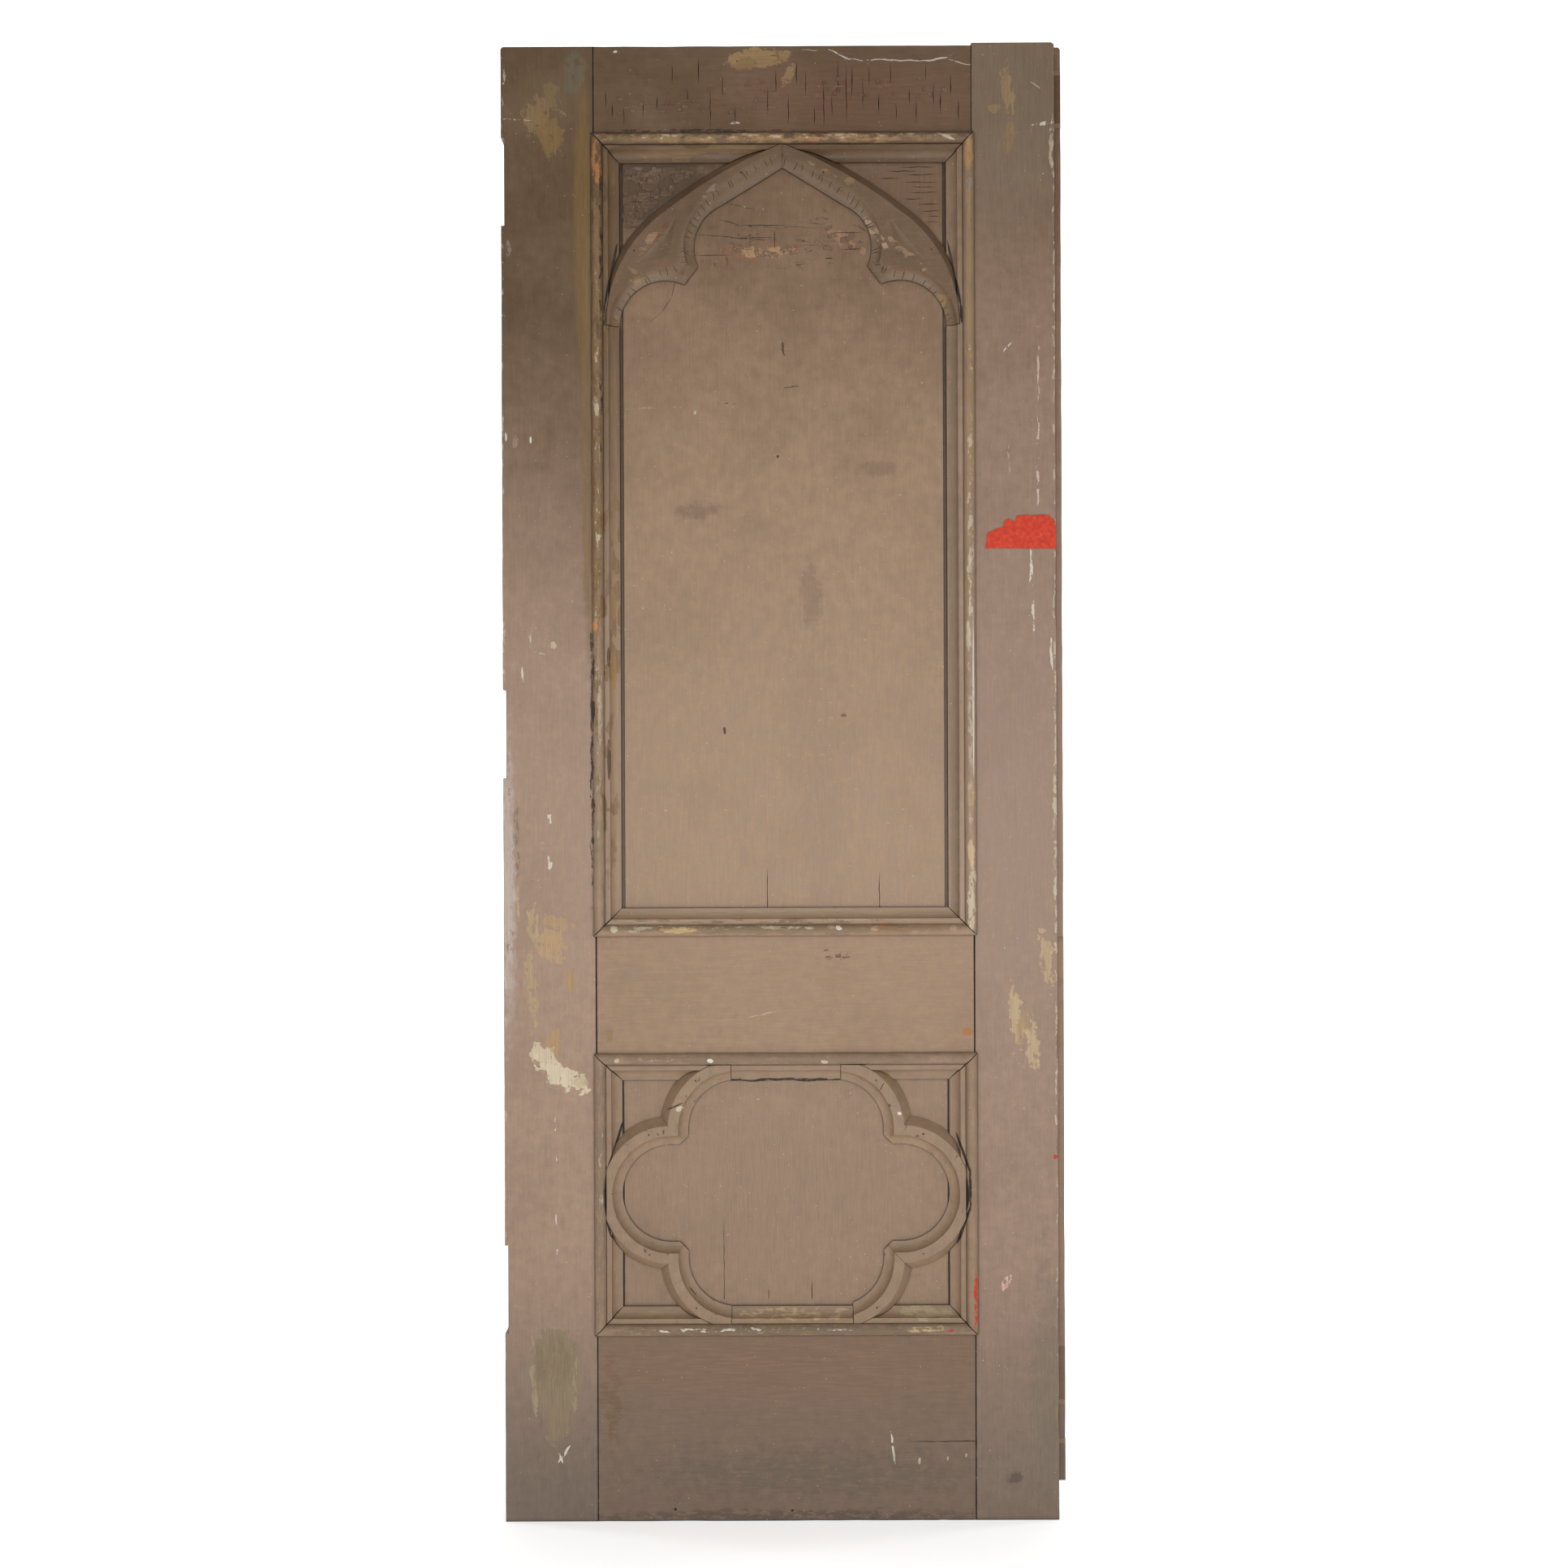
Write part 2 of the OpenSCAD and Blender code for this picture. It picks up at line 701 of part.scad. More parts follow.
// All that the ring's back edge encloses, for the mouldings to be cut round
module ring_back(gap, low, high) {
    intersection() {
        union() {
            back_bar(lobe_x, lobe_r + ring_out, gap, low, high);
            rotate([0, 0, 90]) back_bar(body_corner[1], body_x + ring_out, gap, low, high);
            back_bar(body_corner[0], lower_sight_y + ring_out, gap, low, high);
            for (x = [-1, 1]) {
                translate([x * lobe_x, 0, 0]) back_disc(lobe_r + ring_out, gap, low, high);
                for (y = [-1, 1]) translate([x * body_corner[0], y * body_corner[1], 0])
                    back_disc(lobe_r + ring_out, gap, low, high);
            }
        }
        ring_bed(gap, low, high);
    }
}

// Section of the ring from its inner edge outward: hollow, flat band and bevel
module ring_section() {
    difference() {
        polygon([[0, -panel_recess], [ring_out + bevel_w, -panel_recess],
            [ring_out, fillet_proud], [0, fillet_proud]]);
        translate([0, fillet_proud]) circle(hollow_w);
    }
}

module ring_arc(from, to) {
    rotate([0, 0, from]) rotate_extrude(angle = to - from) translate([lobe_r, 0]) ring_section();
}

module ring_run(at, angle, long) {
    translate([at[0], at[1], 0]) rotate([90, 0, angle]) linear_extrude(long, center = true) ring_section();
}

// All that lies on the far side of the mitre at the upper right cusp, seen from the side lobe
module past_mitre(shift) {
    wide = sight_x + lower_sight_y;
    translate([cusp[0], cusp[1], -panel_recess - overrun]) rotate([0, 0, 45])
        translate([-wide, shift, 0]) cube([wide * 2, wide, trace_t + overrun * 2]);
}

// The point that is blunted off the upper right cusp
module cusp_point() {
    translate([cusp[0], cusp[1], -panel_recess - overrun]) rotate([0, 0, 45])
        translate([-cusp_blunt, -cusp_blunt * 2, 0])
            cube([cusp_blunt * 2, cusp_blunt * 4, trace_t + overrun * 2]);
}

// The right hand lobe, mitred at both cusps
module ring_lobe() {
    difference() {
        union() {
            translate([lobe_x, 0, 0]) ring_arc(-90, 90);
            for (side = [0, 1]) mirror([0, side, 0])
                ring_run([(lobe_x + body_x) / 2, lobe_r], 90, lobe_x - body_x);
        }
        for (side = [0, 1]) mirror([0, side, 0]) past_mitre(0);
    }
}

// The upper right corner, mitred at the cusp
module ring_corner(shift) {
    intersection() {
        union() {
            translate([body_corner[0], body_corner[1], 0]) ring_arc(0, 90);
            ring_run([body_x, (lobe_r + body_corner[1]) / 2], 0, body_corner[1] - lobe_r);
        }
        past_mitre(shift);
    }
}

// What every piece of the ring is trimmed to
module ring_trim() {
    difference() {
        intersection() {
            children();
            ring_bed(0, -panel_recess - overrun, fillet_proud + overrun);
        }
        for (x = [0, 1], y = [0, 1]) mirror([x, 0, 0]) mirror([0, y, 0]) cusp_point();
        ring_pins_in(pin_play);
    }
}

module ring_pins_in(room) {
    for (x = [0, 1], y = [0, 1]) mirror([x, 0, 0]) mirror([0, y, 0])
        for (at = ring_pins) translate([at[0], at[1], -panel_recess - pin_d])
            cylinder(r = pin_r + room, h = trace_t + pin_d);
}

module quatrefoil_left() {
    color(paint) stand() at_lower() ring_trim() mirror([1, 0, 0]) union() {
        ring_lobe();
        ring_corner(0);
        mirror([0, 1, 0]) ring_corner(0);
    }
}

module quatrefoil_right() {
    color(paint) stand() at_lower() ring_trim() union() {
        ring_lobe();
        ring_corner(0);
    }
}

module quatrefoil_lower_right() {
    color(paint) stand() at_lower() ring_trim() mirror([0, 1, 0]) ring_corner(tracery_joint);
}

module hinge_stile_wedges() {
    color(bare) stand() mirror([1, 0, 0]) for (tenon = all_tenons) wedge_pair(tenon);
}

module closing_stile_wedges() {
    color(bare) stand() difference() {
        for (tenon = all_tenons) wedge_pair(tenon);
        rebate();
    }
}

module moulding_brads() {
    color(iron) stand() all_brads(0);
}

module all_pins(room) {
    at_arch() for (hand = [0, 1]) mirror([hand, 0, 0]) arch_half_pins(room);
    at_lower() ring_pins_in(room);
}

module tracery_pins() {
    color(iron) stand() all_pins(0);
}

hinge_stile();
closing_stile();
top_rail();
lock_rail();
bottom_rail();
upper_panel();
lower_panel();
upper_moulding_head();
upper_moulding_foot();
upper_moulding_left();
upper_moulding_right();
lower_moulding_head();
lower_moulding_foot();
lower_moulding_left();
lower_moulding_right();
arch_left();
arch_right();
quatrefoil_left();
quatrefoil_right();
quatrefoil_lower_right();
hinge_stile_wedges();
closing_stile_wedges();
moulding_brads();
tracery_pins();
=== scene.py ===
import math

import bmesh
import bpy
from mathutils import Matrix, Vector, noise


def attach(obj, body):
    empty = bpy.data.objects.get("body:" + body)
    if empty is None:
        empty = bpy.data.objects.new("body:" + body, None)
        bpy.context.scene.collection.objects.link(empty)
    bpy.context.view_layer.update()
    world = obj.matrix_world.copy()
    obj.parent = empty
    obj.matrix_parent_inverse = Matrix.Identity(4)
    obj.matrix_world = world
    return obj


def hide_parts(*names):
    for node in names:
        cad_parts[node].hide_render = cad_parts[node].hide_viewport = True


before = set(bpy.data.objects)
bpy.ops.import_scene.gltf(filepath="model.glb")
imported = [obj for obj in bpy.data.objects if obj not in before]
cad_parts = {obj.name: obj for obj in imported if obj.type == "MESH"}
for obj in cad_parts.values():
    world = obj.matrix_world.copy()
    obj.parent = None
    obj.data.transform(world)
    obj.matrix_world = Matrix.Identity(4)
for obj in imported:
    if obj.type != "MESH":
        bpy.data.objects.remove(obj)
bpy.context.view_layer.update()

# The hinge stile is the left upright, one straight length of teak under old brown oil paint.
# Mortises take the rails' wedged tenons, and three empty gains in its edge took the butts.
# Tan filler shows near the top, and scraped spots and a big olive patch lower down.


def tone(red, green, blue):
    """A paint colour as the eye sees it, from 0 to 255, made linear."""
    return tuple((c / 12.92 if c <= 0.04045 else ((c + 0.055) / 1.055) ** 2.4)
                 for c in (red / 255, green / 255, blue / 255)) + (1,)


def put(tree, kind, inputs=(), **settings):
    """A node in a tree, with its settings and inputs: each input is a value or a socket to link."""
    made = tree.nodes.new(kind)
    for key, value in settings.items():
        setattr(made, key, value)
    for key, value in dict(inputs).items():
        if isinstance(value, bpy.types.NodeSocket):
            tree.links.new(value, made.inputs[key])
        else:
            made.inputs[key].default_value = value
    return made


def ramp(tree, value, low, high, to_low=0.0, to_high=1.0):
    return put(tree, "ShaderNodeMapRange", {
        "Value": value, "From Min": low, "From Max": high, "To Min": to_low, "To Max": to_high,
    }, interpolation_type="SMOOTHSTEP").outputs["Result"]


def sums(tree, operation, first, second):
    return put(tree, "ShaderNodeMath", {0: first, 1: second}, operation=operation).outputs[0]


def vectors(tree, operation, first, second):
    return put(tree, "ShaderNodeVectorMath", {0: first, 1: second}, operation=operation).outputs[0]


def scaled(tree, vector, factor):
    return put(tree, "ShaderNodeVectorMath", {0: vector, 3: factor}, operation="SCALE").outputs[0]


def blend(tree, share, under, over, mode="MIX"):
    return put(tree, "ShaderNodeMix", {0: share, 6: under, 7: over}, data_type="RGBA",
               blend_type=mode).outputs[2]


def speckle(tree, place, scale, detail):
    return put(tree, "ShaderNodeTexNoise", {
        "Vector": place, "Scale": scale, "Detail": detail}).outputs["Fac"]


def bare_material(name):
    """A material with nothing in it yet, its tree, and the place on the piece that its patterns read."""
    made = bpy.data.materials.new(name)
    made.use_nodes = True
    made.node_tree.nodes.clear()
    return made, made.node_tree, put(made.node_tree, "ShaderNodeTexCoord").outputs["Object"]


def surface(tree, inputs):
    """A material's one shader, and the way out of its tree."""
    shader = put(tree, "ShaderNodeBsdfPrincipled", inputs)
    put(tree, "ShaderNodeOutputMaterial", {0: shader.outputs[0]})


def mark_group():
    """One worn mark: an ellipse on the face, with a ragged edge, and broken up to a given cover."""
    tree = bpy.data.node_groups.new("worn_mark", "ShaderNodeTree")
    for label in ("Place", "Middle", "Along", "Across"):
        tree.interface.new_socket(label, in_out="INPUT", socket_type="NodeSocketVector")
    for label in ("Edge noise", "Break noise", "Ragged", "Soft", "Cover"):
        tree.interface.new_socket(label, in_out="INPUT", socket_type="NodeSocketFloat")
    tree.interface.new_socket("Mask", in_out="OUTPUT", socket_type="NodeSocketFloat")
    given = tree.nodes.new("NodeGroupInput").outputs
    off = vectors(tree, "SUBTRACT", given["Place"], given["Middle"])
    u, v = (put(tree, "ShaderNodeVectorMath", {0: off, 1: given[way]}, operation="DOT_PRODUCT")
            for way in ("Along", "Across"))
    flat = put(tree, "ShaderNodeCombineXYZ", {0: u.outputs["Value"], 1: v.outputs["Value"]})
    far = put(tree, "ShaderNodeVectorMath", {0: flat.outputs[0]}, operation="LENGTH").outputs["Value"]
    far = sums(tree, "ADD", far, sums(tree, "MULTIPLY", given["Edge noise"], given["Ragged"]))
    edge = ramp(tree, far, sums(tree, "ADD", 1.0, given["Soft"]),
                sums(tree, "SUBTRACT", 1.0, given["Soft"]))
    torn = 0.07
    whole = ramp(tree, given["Break noise"], sums(tree, "ADD", given["Cover"], torn),
                 sums(tree, "SUBTRACT", given["Cover"], torn))
    put(tree, "NodeGroupOutput", {"Mask": sums(tree, "MULTIPLY", edge, whole)})
    return tree


worn_mark = mark_group()

faded_brown = tone(163, 135, 114)
sooty_brown = tone(105, 81, 56)
dusty_brown = tone(112, 97, 84)
ochre = tone(158, 128, 82)
tan = tone(172, 140, 100)
cream = tone(212, 196, 168)
white = tone(238, 228, 213)
olive = tone(142, 128, 96)
grey_green = tone(118, 112, 92)
soot = tone(50, 39, 32)
crack = tone(26, 20, 16)
mm_in_metre = 1000.0
usual_soft = 0.1


def old_paint(name, grain, marks, body=faded_brown, sooted=(1150, 1800, 0.9), dusted=0.9,
              hollow_grime_and_shade=0.85, corner_shade=0.96, seams=(), hair=None, lost=None):
    """Old brown oil paint, sooted from a low to a high level, dusted at the foot, with grime and painted
    shade in its hollows and painted shade in its corners. Each mark is (x, z, half width, half height,
    turn, colour, strength, cover, ragged, soft), in millimetres and degrees, and lies on the front; soft
    is left out where it is the usual one. Seams are marks that show on both faces. hair is an area checked
    with hair cracks, and how they are drawn out. lost is an area whose scales are partly gone, with
    their size, the colour bared, and the share."""
    made, tree, object_place = bare_material(name)
    place = scaled(tree, object_place, mm_in_metre)

    def cloud(scale, detail, stretch=(1, 1, 1), rough=0.55):
        return put(tree, "ShaderNodeTexNoise", {
            "Vector": vectors(tree, "MULTIPLY", place, stretch), "Scale": scale, "Detail": detail,
            "Roughness": rough}).outputs

    along = {"x": (0.05, 1, 1), "z": (1, 1, 0.05)}[grain]
    drawn = {"x": (0.4, 1, 1), "z": (1, 1, 0.4)}[grain]
    wander = 9.0
    wobble = vectors(tree, "SUBTRACT", cloud(0.035, 2)["Color"], (0.5, 0.5, 0.5))
    bent = vectors(tree, "ADD", place, scaled(tree, wobble, wander))
    edge_noise = sums(tree, "SUBTRACT", cloud(0.06, 4, rough=0.7)["Fac"], 0.5)
    edge_noise = sums(tree, "MULTIPLY", edge_noise, 2.6)
    break_noise = ramp(tree, cloud(0.11, 4, drawn, 0.72)["Fac"], 0.3, 0.7)

    _, back, up = put(tree, "ShaderNodeSeparateXYZ", {0: place}).outputs
    front = ramp(tree, back, 1.0, -3.0)

    def mask_of(mark):
        x, z, half_w, half_h, turn, _, _, cover, ragged, *soft = mark
        c, s = math.cos(math.radians(turn)), math.sin(math.radians(turn))
        return put(tree, "ShaderNodeGroup", {
            "Place": bent if ragged > 0.3 else place, "Middle": (x, 0, z),
            "Along": (c / half_w, 0, s / half_w), "Across": (-s / half_h, 0, c / half_h),
            "Edge noise": edge_noise, "Break noise": break_noise,
            "Ragged": ragged, "Soft": soft[0] if soft else usual_soft, "Cover": cover,
        }, node_tree=worn_mark).outputs["Mask"]

    patchy = cloud(0.0065, 3)["Fac"]
    streaks = cloud(0.5, 3, along, 0.7)["Fac"]
    mottle = cloud(0.06, 4, rough=0.65)["Fac"]
    sootiness = sums(tree, "ADD", ramp(tree, up, sooted[0], sooted[1], 0, sooted[2]),
                     ramp(tree, patchy, 0.35, 0.65, 0.10, -0.10))
    dust_top, dust_foot = 420, 30
    colour = blend(tree, ramp(tree, up, dust_top, dust_foot, 0, dusted), body, dusty_brown)
    colour = blend(tree, sootiness, colour, sooty_brown)
    for pattern, dark, light in ((streaks, (0.82, 0.82, 0.82, 1), (1.18, 1.18, 1.18, 1)),
                                 (mottle, (0.74, 0.73, 0.71, 1), (1.27, 1.26, 1.26, 1))):
        colour = blend(tree, 1.0, colour, blend(tree, pattern, dark, light), "MULTIPLY")
    height = sums(tree, "ADD", sums(tree, "MULTIPLY", streaks, 0.2),
                  sums(tree, "MULTIPLY", mottle, 0.35))
    dull = 0.0

    if hair:
        area, drawn_out = hair
        area = sums(tree, "MULTIPLY", mask_of(area), front)
        line = sums(tree, "SUBTRACT", cloud(1.0, 2, drawn_out, 0.5)["Fac"], 0.5)
        line = put(tree, "ShaderNodeMath", {0: line}, operation="ABSOLUTE").outputs[0]
        some = ramp(tree, cloud(0.045, 1)["Fac"], 0.48, 0.54)
        lines = sums(tree, "MULTIPLY", ramp(tree, line, 0.014, 0.004), some)
        lines = sums(tree, "MULTIPLY", lines, area)
        colour = blend(tree, sums(tree, "MULTIPLY", lines, 0.85), colour, crack)
    if lost:
        area, size, bared, share = lost
        tile = put(tree, "ShaderNodeTexVoronoi", {
            "Vector": vectors(tree, "MULTIPLY", bent, size), "Scale": 1.0, "Randomness": 0.85,
        }, distance="CHEBYCHEV").outputs["Color"]
        chance = put(tree, "ShaderNodeSeparateColor", {0: tile}).outputs[0]
        dull = sums(tree, "MULTIPLY", mask_of(area), ramp(tree, chance, share + 0.02, share - 0.02))
        colour = blend(tree, sums(tree, "MULTIPLY", dull, 0.9), colour,
                       blend(tree, streaks, tone(92, 68, 46), bared))
    for mark in list(seams) + marks:
        mask = sums(tree, "MULTIPLY", mask_of(mark), mark[6])
        if mark not in seams:
            mask = sums(tree, "MULTIPLY", mask, front)
        dark, light = (tuple(min(1, c * share) for c in mark[5][:3]) + (1,) for share in (0.55, 1.25))
        colour = blend(tree, mask, colour, blend(tree, streaks, dark, light))
        dull = sums(tree, "MAXIMUM", dull, mask)

    flecks = ramp(tree, cloud(0.3, 1)["Fac"], 0.76, 0.79)
    colour = blend(tree, sums(tree, "MULTIPLY", flecks, 0.6), colour, cream)
    # Painted shade: ambient occlusion darkens the paint near close faces. In the hollows it darkens
    # towards soot, where grime lies too, and in tight corners it darkens to near black.
    hollow_reach, corner_reach = 0.007, 0.0026
    for reach, clear, shut, most, grime_and_shade_tone in ((hollow_reach, 0.82, 0.32, hollow_grime_and_shade, soot),
                                                (corner_reach, 0.9, 0.5, corner_shade, crack)):
        shut_in = put(tree, "ShaderNodeAmbientOcclusion", {"Distance": reach}, samples=3, only_local=False)
        colour = blend(tree, ramp(tree, shut_in.outputs["AO"], clear, shut, 0, most), colour, grime_and_shade_tone)

    relief = 0.0006
    bump = put(tree, "ShaderNodeBump", {"Height": height, "Strength": 0.5, "Distance": relief})
    gloss = sums(tree, "ADD", ramp(tree, mottle, 0.3, 0.7, 0.46, 0.6), sums(tree, "MULTIPLY", dull, 0.2))
    surface(tree, {"Base Color": colour, "Roughness": gloss, "Normal": bump.outputs[0]})
    return made


def crack_dirt():
    """The dirt that lies in open cracks and splits."""
    made, tree, place = bare_material("crack_dirt")
    colour = blend(tree, speckle(tree, place, 900.0, 3), tone(20, 15, 12), tone(62, 46, 34))
    surface(tree, {"Base Color": colour, "Roughness": 0.9})
    return made


def front_of(node):
    """The level of a CAD node's front."""
    return min(v.co.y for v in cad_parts[node].data.vertices)


def into_scene(name, data):
    """An object in the scene, at the origin."""
    made = bpy.data.objects.new(name, data)
    bpy.context.scene.collection.objects.link(made)
    return made


dirt = crack_dirt()
face_y = front_of("hinge_stile")
tiny = 0.00002
ACROSS, UP = 0, 2


def cut_faces(bm, faces, axis, at):
    """Cut some faces across at a place on an axis, and leave the rest whole."""
    parts = set(faces)
    for f in faces:
        parts.update(f.edges)
        parts.update(f.verts)
    square = Vector([1.0 if i == axis else 0.0 for i in range(3)])
    bmesh.ops.bisect_plane(bm, geom=list(parts), dist=tiny / 10, plane_co=square * at, plane_no=square)


def open_crack(bm, plane_y, run, at, low, high, half_w=0.0005, depth=0.0016, ends=(0, 0), sway=0.0009):
    """Open a crack in a flat face: it runs along an axis at a place on the other, from low to high.
    ends says how far open it is at each end, and sway how far it wanders."""
    other = ACROSS if run == UP else UP
    stretch = 0.006

    def near(margin):
        found = []
        for f in bm.faces:
            if any(abs(v.co.y - plane_y) > tiny for v in f.verts):
                continue
            runs = [v.co[run] for v in f.verts]
            sides = [v.co[other] for v in f.verts]
            if (min(runs) < high - tiny and max(runs) > low + tiny
                    and min(sides) < at + margin and max(sides) > at - margin):
                found.append(f)
        return found

    steps = max(3, int((high - low) / stretch))
    for i in range(steps + 1):
        cut_faces(bm, near(half_w), run, low + (high - low) * i / steps)
    for side in (-half_w, 0, half_w):
        cut_faces(bm, near(half_w), other, at + side)
    bm.normal_update()
    floor = []
    for v in bm.verts:
        off = v.co[other] - at
        share = (v.co[run] - low) / (high - low)
        if abs(v.co.y - plane_y) > tiny or abs(off) > half_w + tiny or not -0.001 < share < 1.001:
            continue
        gape = min(1.0, ends[0] + share * 3, ends[1] + (1 - share) * 3)
        gape *= 0.75 + 0.5 * noise.noise(Vector((v.co[run] * 90, at * 37, 1)))
        if abs(off) < tiny / 4:
            floor.append(v)
            v.co.y += depth * gape
        v.co[other] = at + off * max(0.08, gape)
        v.co[other] += sway * noise.noise(Vector((v.co[run] * 70, at * 91, 5))) * min(1, gape * 3)
    for v in floor:
        for f in v.link_faces:
            sides = [w.co[other] for w in f.verts]
            if max(sides) - min(sides) < 2 * half_w:
                f.material_index = 1


def worn_copy(name, node, paint, axis=UP, step=0.03, eased=None, ease=0.0011, wear=0.0006,
              rubbed=0.0, cracks=(), plane_y=face_y):
    """A worn copy of a CAD node: doubles merged, cut across at every step, its eased arrises rounded
    and nibbled, what stands proud of the frame rubbed down a little, and its cracks opened."""
    bm = bmesh.new()
    bm.from_mesh(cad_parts[node].data)
    bmesh.ops.remove_doubles(bm, verts=bm.verts[:], dist=tiny / 5)
    bmesh.ops.dissolve_limit(bm, angle_limit=0.003, verts=bm.verts[:], edges=bm.edges[:])
    low = min(v.co[axis] for v in bm.verts)
    high = max(v.co[axis] for v in bm.verts)
    for i in range(1, int((high - low) / step)):
        cut_faces(bm, bm.faces[:], axis, low + i * step)
    for f in bm.faces:
        f.material_index = 0
    for given in cracks:
        open_crack(bm, plane_y, *given)
    if eased:
        bm.normal_update()
        sharp = 0.6
        arrises = [e for e in bm.edges if len(e.link_faces) == 2 and e.calc_face_angle(0) > sharp
                   and all(eased(v.co) for v in e.verts)
                   and not any(f.material_index for f in e.link_faces)]
        made = bmesh.ops.bevel(bm, geom=arrises, offset=ease, offset_type="OFFSET", segments=3,
                               profile=0.5, affect="EDGES", clamp_overlap=True)
        bm.normal_update()
        for v in made["verts"]:
            bite = noise.noise(v.co * 55) + 0.5 * noise.noise(v.co * 170)
            v.co -= v.normal * wear * max(0.0, bite) * 1.6
    if rubbed:
        bm.normal_update()
        proud = 0.0003
        for v in bm.verts:
            if v.co.y < face_y - proud:
                bite = 0.35 + noise.noise(v.co * 60) + 0.6 * noise.noise(v.co * 210)
                v.co -= v.normal * rubbed * max(0.0, bite)
    bm.normal_update()
    flat = [f.material_index == 1 or max(abs(c) for c in f.normal) > 0.9995 for f in bm.faces]
    mesh = bpy.data.meshes.new(name)
    bm.to_mesh(mesh)
    bm.free()
    if "custom_normal" in mesh.attributes:
        mesh.attributes.remove(mesh.attributes["custom_normal"])
    mesh.set_sharp_from_angle(angle=math.radians(38))
    mesh.polygons.foreach_set("use_smooth", [not f for f in flat])
    mesh.materials.append(paint)
    if cracks:
        mesh.materials.append(dirt)
    piece = into_scene(name, mesh)
    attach(piece, "root")
    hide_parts(node)


def on_face(co):
    return abs(co.y - face_y) < tiny


left_joint_x, right_joint_x = -272.5, 274.5


def joint_line(x):
    """The dark line where a stile meets the rails."""
    return (x, 1067, 1.3, 1500, 0, crack, 0.95, 1.2, 0.25, 0.2)


hinge_stile_paint = old_paint("hinge_stile_paint", "z", [
    (-347, 2046, 30, 58, 6, tone(120, 100, 66), 0.6, 0.85, 1.1, 0.2),
    (-354, 2036, 18, 26, 0, tone(152, 124, 84), 0.8, 0.8, 1.2, 0.05),
    (-333, 2062, 12, 18, 10, tone(140, 116, 80), 0.75, 0.8, 1.2, 0.05),
    (-334, 2006, 18, 28, 6, tone(146, 114, 70), 0.8, 0.85, 1.1, 0.06),
    (-322, 2040, 12, 3, -30, tone(150, 124, 88), 0.7, 0.7, 1.0, 0.08),
    (-298, 2097, 17, 28, 0, grey_green, 0.65, 0.75, 0.8, 0.25),
    (-287, 1880, 13, 200, 0, tone(138, 107, 60), 0.7, 1.0, 0.5, 0.4),
    (-282, 1560, 8, 300, 0, tone(140, 112, 74), 0.65, 1.0, 0.35, 0.3),
    (-278, 1085, 1.8, 180, 0, crack, 0.85, 0.62, 0.9, 0.2),
    (-384, 2028, 22, 0.9, -2, cream, 0.8, 0.55, 0.5),
    (-402, 2092, 2.2, 12, 0, cream, 0.8, 0.5, 0.9),
    (-396, 1842, 4, 12, 0, tone(170, 150, 132), 0.6, 0.6, 0.9),
    (-400, 1570, 1.4, 6, 0, white, 0.9, 0.8, 0.5),
    (-365, 1567, 1.6, 5, 4, white, 0.95, 1.0, 0.5),
    (-387, 1564, 4, 8, 0, tone(178, 150, 130), 0.6, 0.6, 0.9),
    (-356, 1258, 12, 1.3, -22, cream, 0.6, 0.7, 0.6),
    (-378, 1222, 1.6, 14, 3, white, 0.8, 0.6, 0.6),
    (-366, 1270, 1.2, 22, 3, white, 0.6, 0.45, 0.6),
    (-334, 1266, 6, 4, -40, cream, 0.75, 0.6, 0.9),
    (-340, 1016, 4, 8, 0, white, 0.85, 0.5, 1.0),
    (-350, 977, 4, 7, 0, cream, 0.7, 0.5, 1.0),
    (-340, 952, 3.5, 10, 0, white, 0.8, 0.5, 1.0),
    (-387, 985, 3.5, 60, 0, tone(104, 84, 68), 0.55, 0.6, 0.8, 0.2),
    (-386, 898, 2.2, 30, 0, tone(200, 170, 130), 0.75, 0.5, 0.8),
    # Partly scuffed paint and partly painted sheen: a pale greyish strip down the lower left edge.
    (-400, 930, 10, 180, 0, tone(208, 192, 182), 0.75, 0.85, 0.8, 0.6),
    (-338, 836, 22, 24, -8, tone(190, 158, 120), 0.9, 0.8, 1.3, 0.04),
    (-330, 866, 24, 9, -14, tone(186, 154, 116), 0.88, 0.7, 1.3, 0.04),
    (-362, 862, 8, 30, 4, tone(190, 164, 128), 0.88, 0.7, 1.2, 0.04),
    (-311, 784, 8, 15, 10, tone(182, 146, 106), 0.88, 0.85, 1.0, 0.05),
    (-366, 770, 8, 60, 4, tone(186, 160, 122), 0.88, 0.68, 1.3, 0.04),
    (-336, 690, 10, 20, 0, tone(186, 150, 108), 0.88, 0.85, 1.0, 0.05),
    (-348, 672, 22, 14, -50, tone(216, 198, 166), 0.95, 0.9, 1.2, 0.04),
    (-322, 644, 36, 15, -30, tone(222, 206, 176), 0.95, 0.86, 1.2, 0.04),
    (-298, 636, 11, 8, -4, tone(206, 186, 150), 0.85, 0.75, 1.2, 0.06),
    (-332, 578, 1.2, 13, 0, white, 0.75, 0.55, 0.6),
    (-332, 536, 1.2, 16, 0, white, 0.75, 0.55, 0.6),
    (-332, 437, 1.2, 9, 0, white, 0.7, 0.55, 0.6),
    (-331, 391, 1.2, 6, 0, white, 0.7, 0.55, 0.6),
    (-335, 216, 39, 66, 3, tone(147, 128, 101), 0.92, 1.2, 0.4, 0.03),
    (-338, 226, 26, 40, 3, tone(134, 114, 86), 0.5, 0.7, 1.0, 0.3),
    (-330, 152, 19, 36, -4, tone(146, 126, 98), 0.85, 1.0, 0.8, 0.05),
    (-366, 214, 4, 54, 4, tone(176, 158, 130), 0.65, 0.65, 0.9),
    (-306, 190, 3, 40, -4, tone(172, 152, 124), 0.6, 0.6, 0.9),
    (-321, 99, 1.6, 13, -32, white, 0.9, 0.7, 0.6),
    (-326, 94, 1.2, 8, 24, white, 0.9, 0.7, 0.6),
    (-405, 1240, 1.8, 900, 0, cream, 0.6, 0.24, 0.8, 0.3),
], sooted=(1150, 1800, 0.95), seams=[joint_line(left_joint_x)])
worn_copy("hinge_stile_board", "hinge_stile", hinge_stile_paint, eased=on_face)

